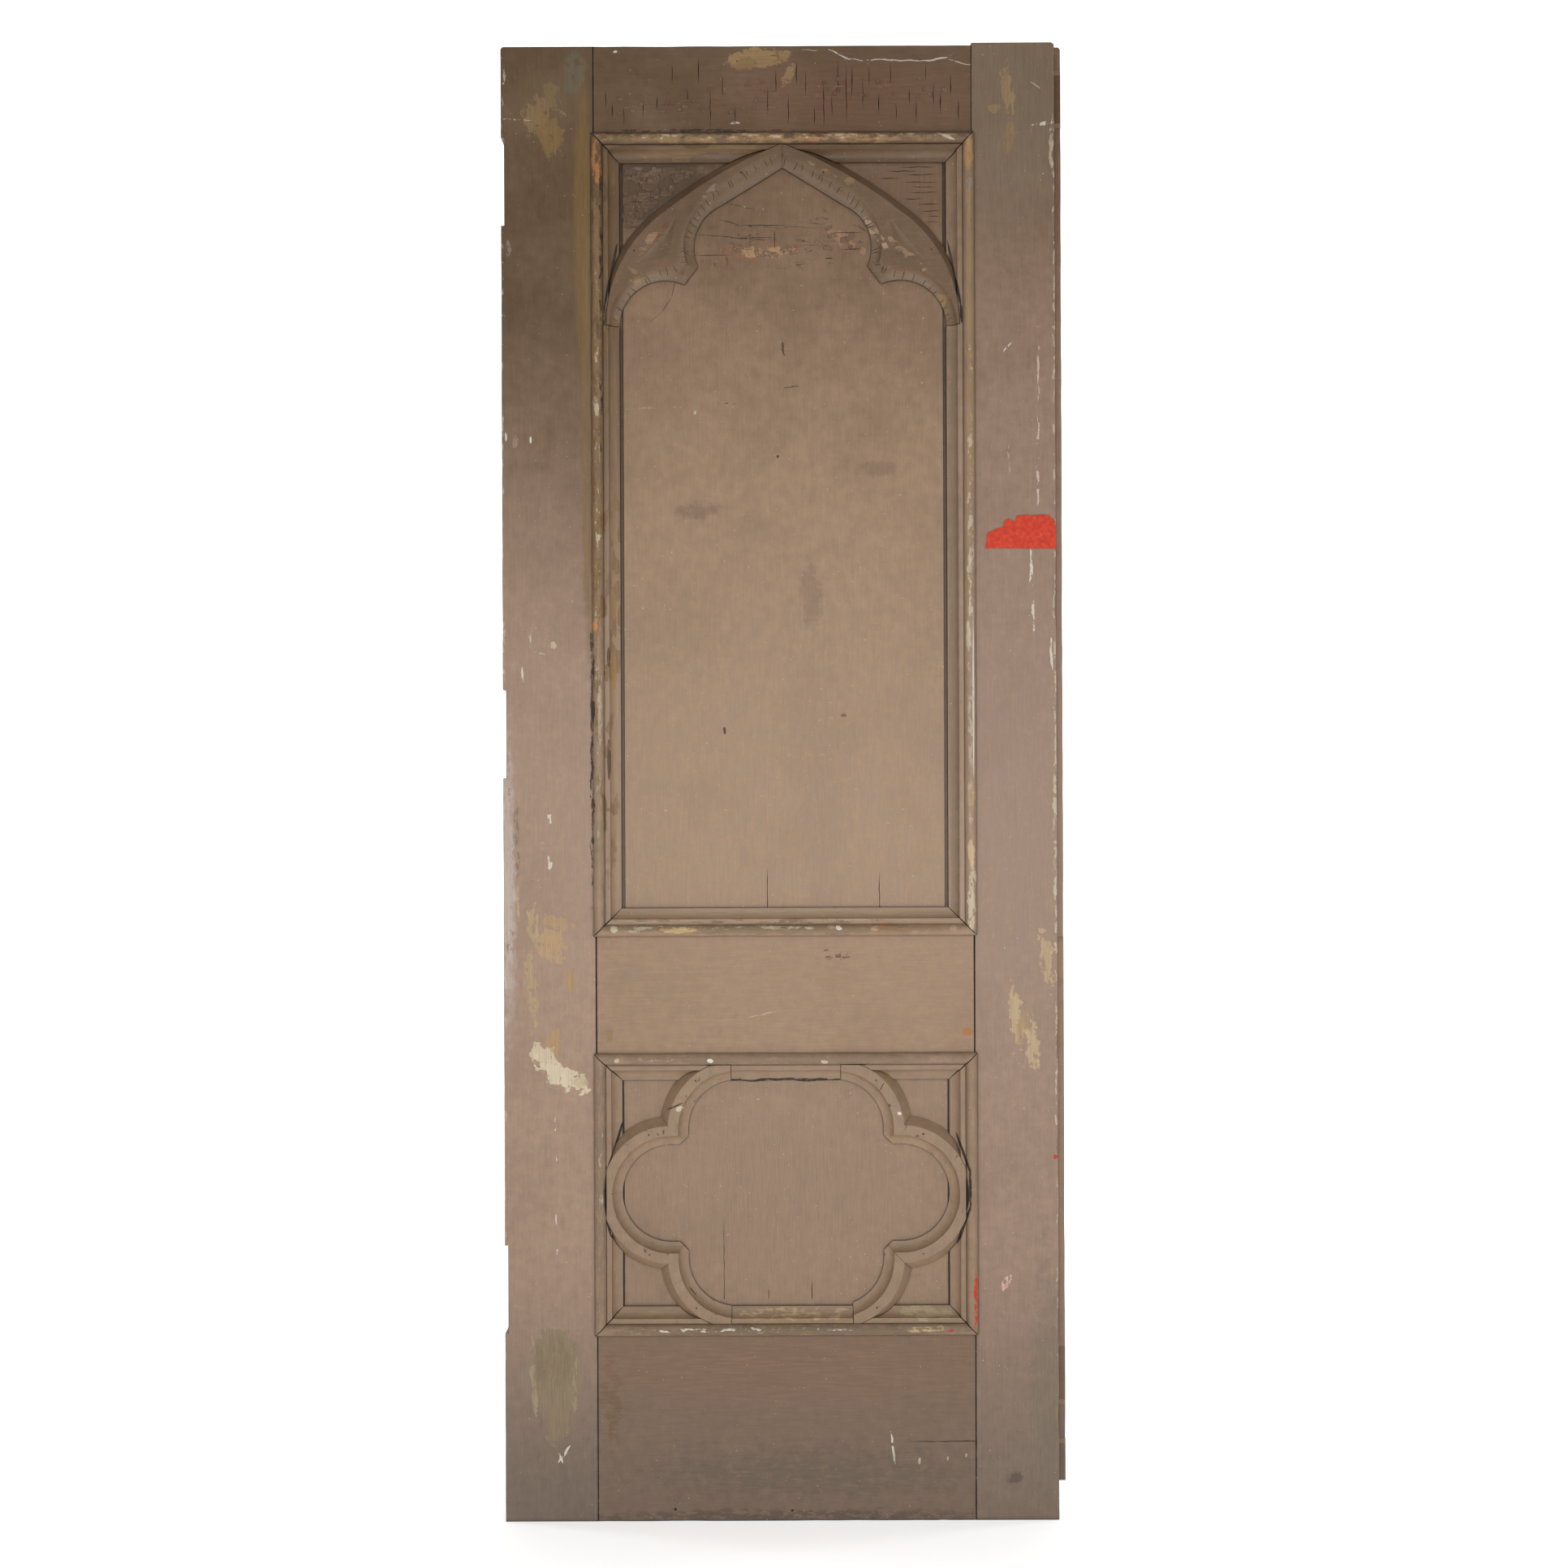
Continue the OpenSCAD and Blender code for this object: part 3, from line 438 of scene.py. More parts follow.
# The closing stile is the right upright, of the same teak and paint. Its edge is rebated, so a thin
# tongue stands along the back of it to lap a second leaf; the tongue has broken away at the foot.
# Its face arris is rubbed to cream, and chalky runs and scraped spots go down its face.
closing_stile_paint = old_paint("closing_stile_paint", "z", [
    (336, 2040, 70, 150, 0, tone(136, 119, 96), 0.55, 1.2, 0.3, 0.5),
    (327, 2064, 8, 44, 8, tone(166, 138, 98), 0.8, 0.72, 1.2, 0.05),
    (331, 2010, 7, 30, -4, tone(156, 128, 88), 0.75, 0.8, 1.1, 0.05),
    (308, 2042, 9, 6, 0, tone(164, 136, 96), 0.7, 0.8, 1.0, 0.08),
    (376, 2019, 18, 2.2, 4, white, 0.8, 0.45, 1.0),
    (381, 1948, 4, 1.2, 0, white, 0.8, 0.7, 0.6),
    (368, 2075, 8, 1.0, -35, cream, 0.6, 0.7, 0.6),
    (393, 1190, 1.5, 930, 0, cream, 0.8, 0.42, 0.9, 0.2),
    (391, 1985, 3, 34, 0, cream, 0.6, 0.5, 0.9),
    (370, 1672, 1.4, 52, 0, tone(226, 196, 180), 0.85, 0.55, 0.7),
    (369, 1528, 1.7, 68, 0, tone(226, 204, 190), 0.85, 0.55, 0.8),
    (327, 1535, 1.2, 26, 0, cream, 0.65, 0.45, 0.8),
    (326, 1698, 1.2, 10, -40, white, 0.8, 0.8, 0.5),
    (372, 1727, 5, 1.6, 0, tone(220, 130, 120), 0.8, 0.8, 0.6),
    (361, 1345, 2.0, 58, 2, white, 0.85, 0.55, 0.8),
    (388, 1255, 1.3, 26, 0, white, 0.85, 0.7, 0.7),
    (391, 1030, 3, 60, 0, cream, 0.75, 0.5, 1.0),
    (392, 900, 2.5, 60, 0, cream, 0.75, 0.55, 1.0),
    (379, 812, 9, 40, 6, tone(196, 170, 134), 0.88, 0.7, 1.2, 0.04),
    (333, 734, 9, 46, 8, tone(198, 172, 134), 0.9, 0.78, 1.1, 0.04),
    (346, 714, 10, 26, -10, tone(176, 146, 108), 0.85, 0.7, 1.2, 0.04),
    (358, 686, 9, 34, 4, tone(196, 170, 134), 0.88, 0.7, 1.1, 0.04),
    (391, 526, 2.2, 4, 0, tone(196, 48, 34), 0.9, 0.9, 0.5),
    (320, 344, 6, 13, -32, tone(226, 186, 178), 0.9, 0.7, 0.9),
    (319, 342, 3.5, 9, -32, tone(186, 56, 48), 0.8, 0.45, 0.9),
    (393, 168, 3, 34, 0, ochre, 0.85, 0.7, 0.8),
    (330, 60, 13, 7, 0, soot, 0.45, 0.8, 0.7, 0.3),
    (378, 200, 22, 150, 0, grey_green, 0.35, 0.9, 0.6, 0.5),
], body=tone(153, 127, 108), sooted=(1560, 2060, 0.5), dusted=0.75, seams=[joint_line(right_joint_x)])
tongue_x, tongue_back_y = 0.40, 0.02
worn_copy("closing_stile_board", "closing_stile", closing_stile_paint,
          eased=lambda co: on_face(co) or (co.x > tongue_x and co.y < tongue_back_y), wear=0.0009)

# Three rails join the stiles: a top rail, a lock rail at mid-height and a deep bottom rail.
# Each is teak, tenoned through the stiles and wedged. The top rail has checked in short upright
# cracks, and the bottom rail has one open split at its right end.
joint_lines = [joint_line(left_joint_x), joint_line(right_joint_x)]
check_half_w, check_deep = 0.0007, 0.0022


def metres(*lengths):
    """Lengths in millimetres, made metres."""
    return tuple(length / mm_in_metre for length in lengths)


top_rail_checks = [
    (-254, 2046, 2071), (-245, 2032, 2052), (-228, 2020, 2048), (-158, 2082, 2107), (-136, 2052, 2074),
    (-120, 2077, 2117), (-103, 2014, 2074), (-67, 2019, 2048), (-20, 2032, 2074), (10, 2017, 2066),
    (35, 2060, 2099), (61, 2014, 2082), (73, 2030, 2063), (94, 2020, 2106), (102, 2055, 2105),
    (141, 2032, 2066), (185, 2049, 2071), (195, 2020, 2055), (209, 2082, 2106), (230, 2032, 2068),
    (-200, 2028, 2056), (-180, 2040, 2062), (-85, 2060, 2090), (22, 2076, 2112), (48, 2018, 2046),
    (82, 2070, 2112), (118, 2040, 2090), (127, 2074, 2104), (158, 2078, 2110), (166, 2026, 2052),
    (220, 2046, 2082), (245, 2060, 2092), (256, 2024, 2056), (-8, 2066, 2100),
]
top_rail_paint = old_paint("top_rail_paint", "x", [
    (-34, 2116, 40, 14, 4, tone(176, 144, 96), 0.85, 0.85, 1.0, 0.05),
    (-52, 2108, 16, 9, 10, tone(156, 122, 76), 0.8, 0.8, 1.1, 0.06),
    (10, 2092, 8, 16, -24, tone(184, 152, 104), 0.85, 0.9, 0.8, 0.05),
    (84, 2121, 17, 1.2, -26, white, 0.9, 0.8, 0.6),
    (152, 2113, 54, 1.2, -1, white, 0.9, 0.6, 0.7),
    (222, 2114, 22, 1.4, 6, white, 0.9, 0.75, 0.6),
    (262, 2108, 22, 0.9, -14, white, 0.7, 0.7, 0.6),
    (44, 2128, 14, 0.8, -8, cream, 0.6, 0.7, 0.6),
    (-66, 2022, 7, 1.4, 4, white, 0.9, 0.8, 0.6),
    (-240, 2125, 3, 2, 0, white, 0.8, 0.9, 0.6),
    (60, 2072, 130, 22, 0, tone(112, 58, 42), 0.7, 0.22, 0.9, 0.3),
    (90, 2070, 120, 20, 0, tone(160, 122, 92), 0.55, 0.14, 0.9, 0.3),
    (-110, 2056, 90, 14, 0, tone(112, 58, 42), 0.5, 0.14, 0.9, 0.3),
    (-110, 2011, 130, 2.2, 0, soot, 0.8, 0.5, 0.9, 0.2),
    (110, 2060, 200, 60, 0, tone(124, 90, 68), 0.55, 1.2, 0.3, 0.6),
], sooted=(1000, 1900, 0.9), seams=joint_lines)
worn_copy("top_rail_board", "top_rail", top_rail_paint, axis=ACROSS, eased=on_face, cracks=[
    (UP, *metres(*check), check_half_w, check_deep) for check in top_rail_checks])

lock_rail_paint = old_paint("lock_rail_paint", "x", [
    (-254, 703, 7, 11, 0, ochre, 0.7, 0.6, 0.9),
    (263, 706, 6, 7, 0, tone(186, 118, 70), 0.85, 0.75, 0.8),
    (-30, 732, 22, 0.9, 14, cream, 0.55, 0.6, 0.6),
    (88, 817, 34, 6, 0, tone(104, 76, 58), 0.85, 0.4, 1.0, 0.15),
    (60, 820, 5, 7, 0, tone(104, 76, 58), 0.7, 0.6, 1.0, 0.15),
], body=tone(156, 127, 101), seams=joint_lines)
worn_copy("lock_rail_board", "lock_rail", lock_rail_paint, axis=ACROSS, eased=on_face)

bottom_rail_paint = old_paint("bottom_rail_paint", "x", [
    (154, 106, 1.6, 22, 8, white, 0.9, 0.7, 0.7),
    (193, 87, 1.8, 5, 0, cream, 0.85, 0.9, 0.6),
    (234, 90, 1.4, 3, 0, cream, 0.8, 0.9, 0.6),
    (261, 93, 1.4, 3, 0, cream, 0.8, 0.9, 0.6),
    (-161, 17, 2.4, 2.2, 0, crack, 0.9, 1.1, 0.3),
    (8, 15, 2.4, 2.2, 0, crack, 0.9, 1.1, 0.3),
    (-252, 182, 13, 66, 0, tone(120, 92, 60), 0.6, 0.55, 1.0, 0.2),
    (0, 225, 270, 55, 0, tone(138, 106, 84), 0.5, 1.2, 0.5, 0.6),
    (30, 70, 230, 30, 0, tone(100, 90, 78), 0.4, 0.7, 0.9, 0.6),
    (0, 8, 270, 8, 0, soot, 0.4, 0.6, 0.6, 0.5),
], body=tone(128, 102, 80), dusted=0.55, seams=joint_lines)
split_z, split_left, split_right, split_deep = 0.114, 0.174, 0.273, 0.003
open_right = (0, 1)
worn_copy("bottom_rail_board", "bottom_rail", bottom_rail_paint, axis=ACROSS, eased=on_face,
          cracks=[(ACROSS, split_z, split_left, split_right, check_half_w, split_deep, open_right)])

# Two loose panels lie tongued in grooves in the frame, each a wide board of teak planted with tracery.
# The upper one has shrunk away from its side mouldings, and both have split at the foot.
# The paint has cracked in level lines beside the arch and below its apex.
panel_y = front_of("upper_panel")
upper_foot_z, lower_foot_z = 0.8862, 0.318
open_foot = (1, 0)
long_split_deep = 0.004
fine_half_w = 0.0005
film_half_w, film_deep = 0.0006, 0.0014
upper_panel_checks = [
    (1878, -67, 14), (1860, -76, -6), (1835, -128, -76), (1867, 72, 117), (1843, 86, 119),
    (1962, 170, 229), (1951, 175, 229), (1940, 172, 229), (1925, 181, 229), (1908, 197, 229),
    (1898, 203, 229), (1882, 209, 229), (1956, 150, 200), (1933, 186, 224), (1890, 212, 229),
    (1916, 176, 205), (1946, 140, 172), (1908, -227, -193), (1892, -227, -203), (1876, -227, -209),
    (1919, -227, -181),
]
upper_panel_paint = old_paint("upper_panel_paint", "z", [
    # Painted shade: the spandrels beside the arch are darkened, the left one most, for the shade in these
    # recesses.
    (-175, 1935, 80, 60, 0, tone(88, 69, 52), 0.8, 0.95, 0.4, 0.35),
    (190, 1925, 70, 60, 0, tone(126, 96, 73), 0.6, 1.2, 0.3, 0.4),
    (-215, 1955, 14, 8, 10, tone(150, 126, 104), 0.6, 0.5, 0.9),
    (-36, 1841, 58, 13, 0, tone(160, 108, 80), 0.85, 0.4, 0.7, 0.08),
    (-25, 1839, 38, 9, 0, tone(190, 152, 112), 0.85, 0.62, 0.7, 0.06),
    (2, 1867, 30, 6, 8, tone(150, 112, 84), 0.75, 0.5, 0.7, 0.08),
    (92, 1856, 32, 8, -34, tone(180, 136, 102), 0.75, 0.45, 0.7, 0.08),
    (-125, 1464, 28, 10, 0, soot, 0.26, 0.9, 0.8, 0.5),
    (40, 1336, 14, 40, 0, soot, 0.2, 0.9, 0.8, 0.5),
    (140, 1525, 24, 11, 0, soot, 0.2, 0.9, 0.8, 0.5),
    (-72, 1619, 20, 1.6, 0, crack, 0.6, 0.5, 0.9, 0.2),
    (-178, 1614, 42, 1.2, 2, cream, 0.35, 0.4, 0.9, 0.2),
    (-126, 1606, 2.2, 3, 0, cream, 0.8, 0.9, 0.6),
    (-86, 1143, 1.8, 5, 0, crack, 0.8, 1.1, 0.6),
    (2, 1698, 2.0, 9, 8, crack, 0.7, 0.8, 0.8),
    (5, 1734, 9, 2, 10, tone(150, 120, 96), 0.6, 0.8, 0.8),
    (94, 1742, 12, 2, 8, tone(150, 120, 96), 0.5, 0.6, 0.8),
    (-7, 1541, 1.8, 2.4, 0, crack, 0.8, 1.1, 0.5),
    (87, 1166, 5, 3, 0, soot, 0.5, 0.7, 0.8),
    (-158, 1786, 0.7, 13, -12, crack, 0.6, 1.0, 0.3, 0.2),
    (-168, 1763, 0.7, 15, -34, crack, 0.5, 1.0, 0.3, 0.2),
    (-184, 1745, 0.6, 12, -51, crack, 0.4, 1.0, 0.3, 0.2),
    (-67, 1860, 52, 0.7, -4, crack, 0.7, 0.95, 0.5, 0.2),
    (-77, 1883, 16, 0.6, -20, crack, 0.7, 0.95, 0.4, 0.2),
    (-61, 1906, 22, 0.6, -14, crack, 0.6, 0.85, 0.5, 0.2),
    (115, 1874, 16, 0.6, -25, crack, 0.6, 0.95, 0.5, 0.2),
    (-9, 1857, 0.8, 13, 0, crack, 0.7, 0.95, 0.5, 0.2),
    (16, 1644, 12, 0.9, 3, crack, 0.6, 0.7, 0.6, 0.2),
    (-96, 1830, 40, 26, 20, crack, 0.6, 0.05, 0.8, 0.3),
], body=tone(162, 133, 107), sooted=(1420, 2010, 0.66), dusted=0,
    hair=((40, 1858, 110, 40, 0, crack, 1, 0.8, 0.5, 0.3), (0.016, 1, 0.1)))
worn_copy("upper_panel_board", "upper_panel", upper_panel_paint, step=0.12, plane_y=panel_y, cracks=[
    (UP, x, upper_foot_z, top, film_half_w, long_split_deep, open_foot)
    for x, top in ((-0.0248, 0.944), (0.138, 0.938))
] + [(ACROSS, *metres(*check), film_half_w, film_deep) for check in upper_panel_checks])

# The lower panel takes less than the usual painted shade in its corners.
lower_panel_paint = old_paint("lower_panel_paint", "z", [
    (0, 470, 150, 90, 0, tone(157, 131, 109), 0.5, 0.9, 0.6, 0.6),
    (0, 636, 130, 1.4, 0, crack, 0.9, 0.75, 0.5, 0.2),
    (-235.4, 472, 1.8, 260, 0, crack, 0.92, 1.2, 0.25, 0.2),
    (237.4, 472, 1.8, 260, 0, crack, 0.92, 1.2, 0.25, 0.2),
], body=tone(150, 124, 100), dusted=0.2, corner_shade=0.7)
worn_copy("lower_panel_board", "lower_panel", lower_panel_paint, step=0.08, plane_y=panel_y, cracks=[
    (UP, -0.0898, lower_foot_z, 0.434, film_half_w, split_deep, open_foot),
    (UP, -0.0248, lower_foot_z, 0.334, fine_half_w, split_deep, open_foot),
    (UP, 0.0378, lower_foot_z, 0.346, fine_half_w, split_deep, open_foot),
])

# Bolection mouldings frame the panels: a fat bead that laps the frame, a quirk, a fillet and a hollow.
# Each is run in teak, mitred at the corners and bradded to the edge of the opening.
# The upper beads are rubbed through to ochre and chalk, and the left and head ones have lost scales.
rubbed_tan = tone(168, 138, 98)
rust_tan = tone(190, 128, 76)
red_brown = tone(186, 54, 40)
lower_brown = tone(149, 124, 100)
# The mouldings take only a little grime and painted shade in their hollows, and no painted shade in their
# corners.
moulding_grime_and_shade = {"hollow_grime_and_shade": 0.15, "corner_shade": 0.0}


def mitre_lines(low, high):
    """The dark lines of the four mitres round an opening."""
    left_x, right_x, inward = -256.5, 258.5, 16
    return [(x, z, 30, 0.9, turn, crack, 0.9, 1.2, 0.2, 0.2) for x, z, turn in (
        (left_x, high - inward, -45), (right_x, high - inward, 45),
        (left_x, low + inward, 45), (right_x, low + inward, -45))]


def gap_line(x0, z0, x1, z1):
    """The dark gap where a moulding is cut back round the tracery, from one place to another."""
    return ((x0 + x1) / 2, (z0 + z1) / 2, math.hypot(x1 - x0, z1 - z0) * 0.54, 1.9,
            math.degrees(math.atan2(z1 - z0, x1 - x0)), crack, 0.95, 1.2, 0.25, 0.15)


upper_mitres = mitre_lines(850, 2005)
lower_mitres = mitre_lines(272, 673)
arch_gaps_left = [gap_line(*ends) for ends in (
    (-239.5, 1851, -249, 1801), (-249, 1801, -257, 1758), (-257, 1760, -258, 1731))]
arch_gaps_right = [gap_line(*ends) for ends in (
    (241, 1851, 250.5, 1800), (250.5, 1801, 258.5, 1756), (258.5, 1758, 259.5, 1733))]
upper_left_paint = old_paint("upper_left_moulding_paint", "z", upper_mitres + arch_gaps_left + [
    (-246, 1250, 10, 520, 0, tone(176, 149, 120), 0.3, 1.2, 0.3, 0.4),
    (-268, 1560, 8, 440, 0, tone(148, 119, 82), 0.75, 0.7, 0.9, 0.3),
    (-268, 1360, 4, 420, 0, cream, 0.75, 0.2, 1.0, 0.2),
    (-266, 1180, 3, 60, 0, tone(190, 174, 148), 0.8, 0.7, 1.0, 0.2),
    (-268, 1960, 7, 36, 0, rust_tan, 0.8, 0.6, 0.8, 0.2),
    (-272, 1295, 4, 6, 0, tone(224, 150, 90), 0.9, 1.1, 0.6),
    (-246, 1325, 4, 20, 0, ochre, 0.9, 1.1, 0.15, 0.05),
    (-246, 1232, 4, 28, 0, ochre, 0.9, 1.1, 0.15, 0.05),
    (-253, 1100, 2.4, 30, 0, tone(96, 72, 46), 0.9, 0.8, 0.3, 0.05),
    (-253, 1250, 2.4, 14, 0, tone(96, 72, 46), 0.9, 0.9, 0.3, 0.05),
    (-262, 1780, 2, 230, 0, crack, 0.75, 0.35, 0.9, 0.2),
    (-276, 1130, 2, 150, 0, crack, 0.8, 0.5, 0.9, 0.2),
    (-268, 1000, 6, 100, 0, olive, 0.5, 0.6, 0.8, 0.2),
], body=tone(153, 128, 105), **moulding_grime_and_shade,
    lost=((-254, 1480, 22, 530, 0, crack, 1, 1.1, 0.3), (0.11, 0.08, 0.035),
          tone(146, 116, 76), 0.34))
upper_right_paint = old_paint("upper_right_moulding_paint", "z", upper_mitres + arch_gaps_right + [
    (247, 1300, 8, 560, 0, tone(128, 108, 90), 0.5, 1.2, 0.3, 0.4),
    (270, 1978, 6, 26, 0, tone(196, 150, 100), 0.85, 0.75, 0.8, 0.2),
    (271, 1935, 3, 12, 0, tone(150, 156, 158), 0.7, 0.7, 0.8, 0.2),
    (270, 1700, 6, 280, 0, rubbed_tan, 0.75, 0.7, 0.9, 0.3),
    (274, 1188, 1.3, 114, 0, white, 0.92, 1.0, 0.2, 0.2),
    (268, 1276, 3.5, 24, 0, cream, 0.85, 0.75, 0.8),
    (270, 1380, 4, 12, 0, cream, 0.7, 0.6, 0.9),
    (270, 1315, 4, 10, 0, cream, 0.7, 0.7, 0.9),
    (270, 1053, 5, 22, 0, tone(184, 158, 122), 0.88, 0.95, 0.7),
    (271, 963, 5, 24, 0, tone(216, 184, 146), 0.9, 0.95, 0.7),
    (270, 1150, 4, 150, 0, tone(200, 182, 162), 0.7, 0.46, 1.0, 0.2),
    (271, 900, 5, 50, 0, cream, 0.85, 0.75, 1.0, 0.2),
    (271, 1450, 4, 180, 0, cream, 0.75, 0.4, 1.0, 0.2),
], body=tone(158, 133, 110), sooted=(1500, 2000, 0.45), **moulding_grime_and_shade)
upper_head_paint = old_paint("upper_head_moulding_paint", "x", upper_mitres + [
    (0, 2001, 262, 7, 0, tone(160, 130, 88), 0.85, 0.66, 0.9, 0.3),
    (40, 2001, 120, 5, 0, tone(176, 122, 76), 0.7, 0.42, 0.9, 0.3),
    (0, 2002, 260, 4, 0, cream, 0.8, 0.24, 1.0, 0.2),
    (238, 2001, 13, 1.8, -24, cream, 0.85, 0.75, 0.7),
], **moulding_grime_and_shade,
    lost=((-150, 1984, 120, 14, 0, crack, 1, 1.1, 0.3), (0.03, 0.08, 0.09),
          tone(156, 130, 94), 0.42))
upper_foot_paint = old_paint("upper_foot_moulding_paint", "x", upper_mitres + [
    (0, 876, 244, 10, 0, tone(180, 154, 126), 0.6, 1.2, 0.3, 0.4),
    (0, 857, 262, 7, 0, tone(138, 115, 88), 0.8, 0.9, 0.6, 0.3),
    (78, 858, 4, 2.5, 0, white, 0.9, 0.9, 0.7),
    (-151, 856, 30, 4.5, 0, tone(206, 174, 122), 0.85, 0.75, 1.0),
    (-246, 856, 5, 5, 0, cream, 0.85, 0.8, 0.8),
    (-217, 856, 9, 5, 0, tone(184, 168, 140), 0.8, 0.6, 1.0),
    (130, 857, 6, 4, 0, tone(192, 156, 124), 0.8, 0.8, 0.9),
    (243, 857, 5, 4, 0, tone(192, 156, 124), 0.8, 0.8, 0.9),
    (-128, 867, 108, 2.2, 0, tone(190, 170, 138), 0.7, 0.5, 0.9),
    (-90, 859, 150, 2.6, 0, cream, 0.8, 0.4, 1.0, 0.2),
    (160, 860, 80, 4, 0, rust_tan, 0.6, 0.4, 1.0, 0.2),
    (-40, 868, 170, 3, 0, tone(110, 82, 56), 0.6, 0.5, 0.9, 0.3),
], body=tone(155, 128, 103), **moulding_grime_and_shade)


def moulding_bar(opening, side, paint, rubbed=0.0003):
    """A worn moulding along one side of an opening."""
    worn_copy(f"{opening}_moulding_{side}_bar", f"{opening}_moulding_{side}", paint,
              axis=UP if side in ("left", "right") else ACROSS, step=0.01, rubbed=rubbed)


moulding_bar("upper", "left", upper_left_paint, rubbed=0.0006)
moulding_bar("upper", "right", upper_right_paint)
moulding_bar("upper", "head", upper_head_paint, rubbed=0.0005)
moulding_bar("upper", "foot", upper_foot_paint)

lobe_reach = 97.6
lobe_z = 472.5
lobe_gaps = [gap_line(*ends) for ends in (
    (-235, 579, -250, 530), (-250, 532, -258.8, 503), (-258.8, 505, -260, 470),
    (-260, 474, -258.8, 438), (-258.8, 440, -252.8, 413), (-252.8, 415, -234, 387),
    (249, 556, 266.6, 505), (266.6, 508, 267.5, 452), (267.5, 456, 249, 399))]
lower_side_paint = old_paint("lower_side_moulding_paint", "z", lower_mitres + lobe_gaps + [
    (-165.8, lobe_z, lobe_reach, lobe_reach, 0, crack, 0.95, 1.2, 0.012, 0.01),
    (167.8, lobe_z, lobe_reach, lobe_reach, 0, crack, 0.95, 1.2, 0.012, 0.01),
    (-268, 480, 6, 190, 0, tone(136, 116, 96), 0.6, 0.8, 0.7, 0.3),
    (-268, 480, 3, 160, 0, cream, 0.6, 0.2, 1.0, 0.2),
    (272, 480, 4, 150, 0, rubbed_tan, 0.4, 0.35, 1.0, 0.3),
    (275, 322, 3, 34, 0, tone(214, 56, 34), 0.95, 0.62, 0.9),
], body=lower_brown, dusted=0.2, **moulding_grime_and_shade)
lower_level_paint = old_paint("lower_level_moulding_paint", "x", lower_mitres + [
    (0, 668, 262, 6, 0, tone(132, 110, 88), 0.6, 0.85, 0.6, 0.3),
    (57, 665, 5, 3, 0, cream, 0.85, 0.8, 0.8),
    (-107, 667, 4, 3, 0, white, 0.9, 0.9, 0.7),
    (-242, 667, 4, 3, 0, cream, 0.85, 0.9, 0.7),
    (-200, 668, 40, 2, 0, cream, 0.6, 0.3, 1.0, 0.2),
    (0, 276, 262, 7, 0, tone(122, 103, 80), 0.8, 0.9, 0.6, 0.3),
    (-180, 278, 80, 4, 0, tone(168, 134, 92), 0.6, 0.36, 1.0, 0.2),
    (-60, 278, 150, 2.2, 0, white, 0.85, 0.3, 1.0, 0.2),
    (206, 278, 30, 4, 0, tone(200, 176, 134), 0.85, 0.7, 1.0),
    (238, 276, 6, 2, 8, red_brown, 0.9, 0.8, 0.7),
    (46, 258, 3, 2, 0, red_brown, 0.9, 0.8, 0.7),
    (0, 292, 240, 8, 0, tone(164, 140, 104), 0.6, 0.5, 1.0, 0.3),
    (205, 298, 36, 9, 0, tone(178, 160, 124), 0.8, 0.6, 1.1),
    (14, 297, 92, 12, 0, tone(160, 133, 100), 0.8, 0.66, 1.0),
    (14, 299, 90, 8, 0, tone(192, 170, 138), 0.8, 0.36, 1.1),
    (0, 637.5, 130, 1.4, 0, crack, 0.9, 0.75, 0.5, 0.2),
    (-200, 296, 40, 6, 0, tone(166, 142, 108), 0.6, 0.5, 1.1),
], body=lower_brown, dusted=0.2, **moulding_grime_and_shade)
for side, paint in (("left", lower_side_paint), ("right", lower_side_paint),
                    ("head", lower_level_paint), ("foot", lower_level_paint)):
    moulding_bar("lower", side, paint)

# The cusped arch is two pieces of teak sawn to shape, hollowed round the opening and jointed at the
# apex. They are let in behind the mouldings and pinned to the panel, and their paint is checked
# across the hollow.


def hollow_ticks(path, spacing):
    """Short cracks across a hollow that follows a path, each a thin mark square to it."""
    ticks = []
    for (x0, z0), (x1, z1) in zip(path, path[1:]):
        run = math.hypot(x1 - x0, z1 - z0)
        square = math.degrees(math.atan2(z1 - z0, x1 - x0)) + 90
        count = max(1, round(run / spacing))
        for i in range(count):
            share = (i + 0.5 + 0.7 * noise.noise(Vector((x0, z0, i + 0.5)))) / count
            long = 5.5 + 3.5 * noise.noise(Vector((x1, z1, i + 0.7)))
            turn = square + 25 * noise.noise(Vector((z0, x1, i + 0.3)))
            ticks.append((x0 + (x1 - x0) * share, z0 + (z1 - z0) * share, long, 0.55, turn,
                          crack, 0.8, 0.9, 0.35, 0.2))
    return ticks


def hollow_paler_band(path):
    """A paler, greyer band along the same hollow."""
    return [((x0 + x1) / 2, (z0 + z1) / 2, math.hypot(x1 - x0, z1 - z0) * 0.75, 9,
             math.degrees(math.atan2(z1 - z0, x1 - x0)), tone(160, 138, 114), 0.2, 1.2, 0.35, 0.5)
            for (x0, z0), (x1, z1) in zip(path, path[1:])]


def arch_paint(name, path, marks):
    tick_spacing = 12
    # The arch takes only a little grime and painted shade in its hollows.
    return old_paint(name, "x", hollow_paler_band(path) + marks + hollow_ticks(path, tick_spacing),
                     sooted=(1350, 1800, 0.85), dusted=0, hollow_grime_and_shade=0.25)


arch_left_paint = arch_paint("arch_left_paint", [
    (-9, 1971), (-42, 1956), (-75, 1935), (-103, 1915), (-122, 1891), (-136, 1863), (-141, 1838),
    (-142, 1819), (-158, 1811), (-186, 1805), (-208, 1791), (-225, 1772), (-239, 1750), (-244, 1736),
], [
    (-192, 1852, 26, 6, 52, tone(176, 140, 108), 0.75, 0.42, 0.8),
    (-160, 1822, 36, 5, 8, tone(150, 98, 72), 0.75, 0.4, 0.8),
    (-172, 1866, 20, 4, 60, tone(128, 74, 52), 0.7, 0.42, 0.8),
    (-210, 1800, 10, 20, 20, tan, 0.6, 0.28, 0.9, 0.2),
    (-232, 1745, 9, 12, 60, ochre, 0.7, 0.5, 0.9),
    (-102, 1925, 16, 4, 40, tone(180, 156, 126), 0.5, 0.4, 0.9),
])
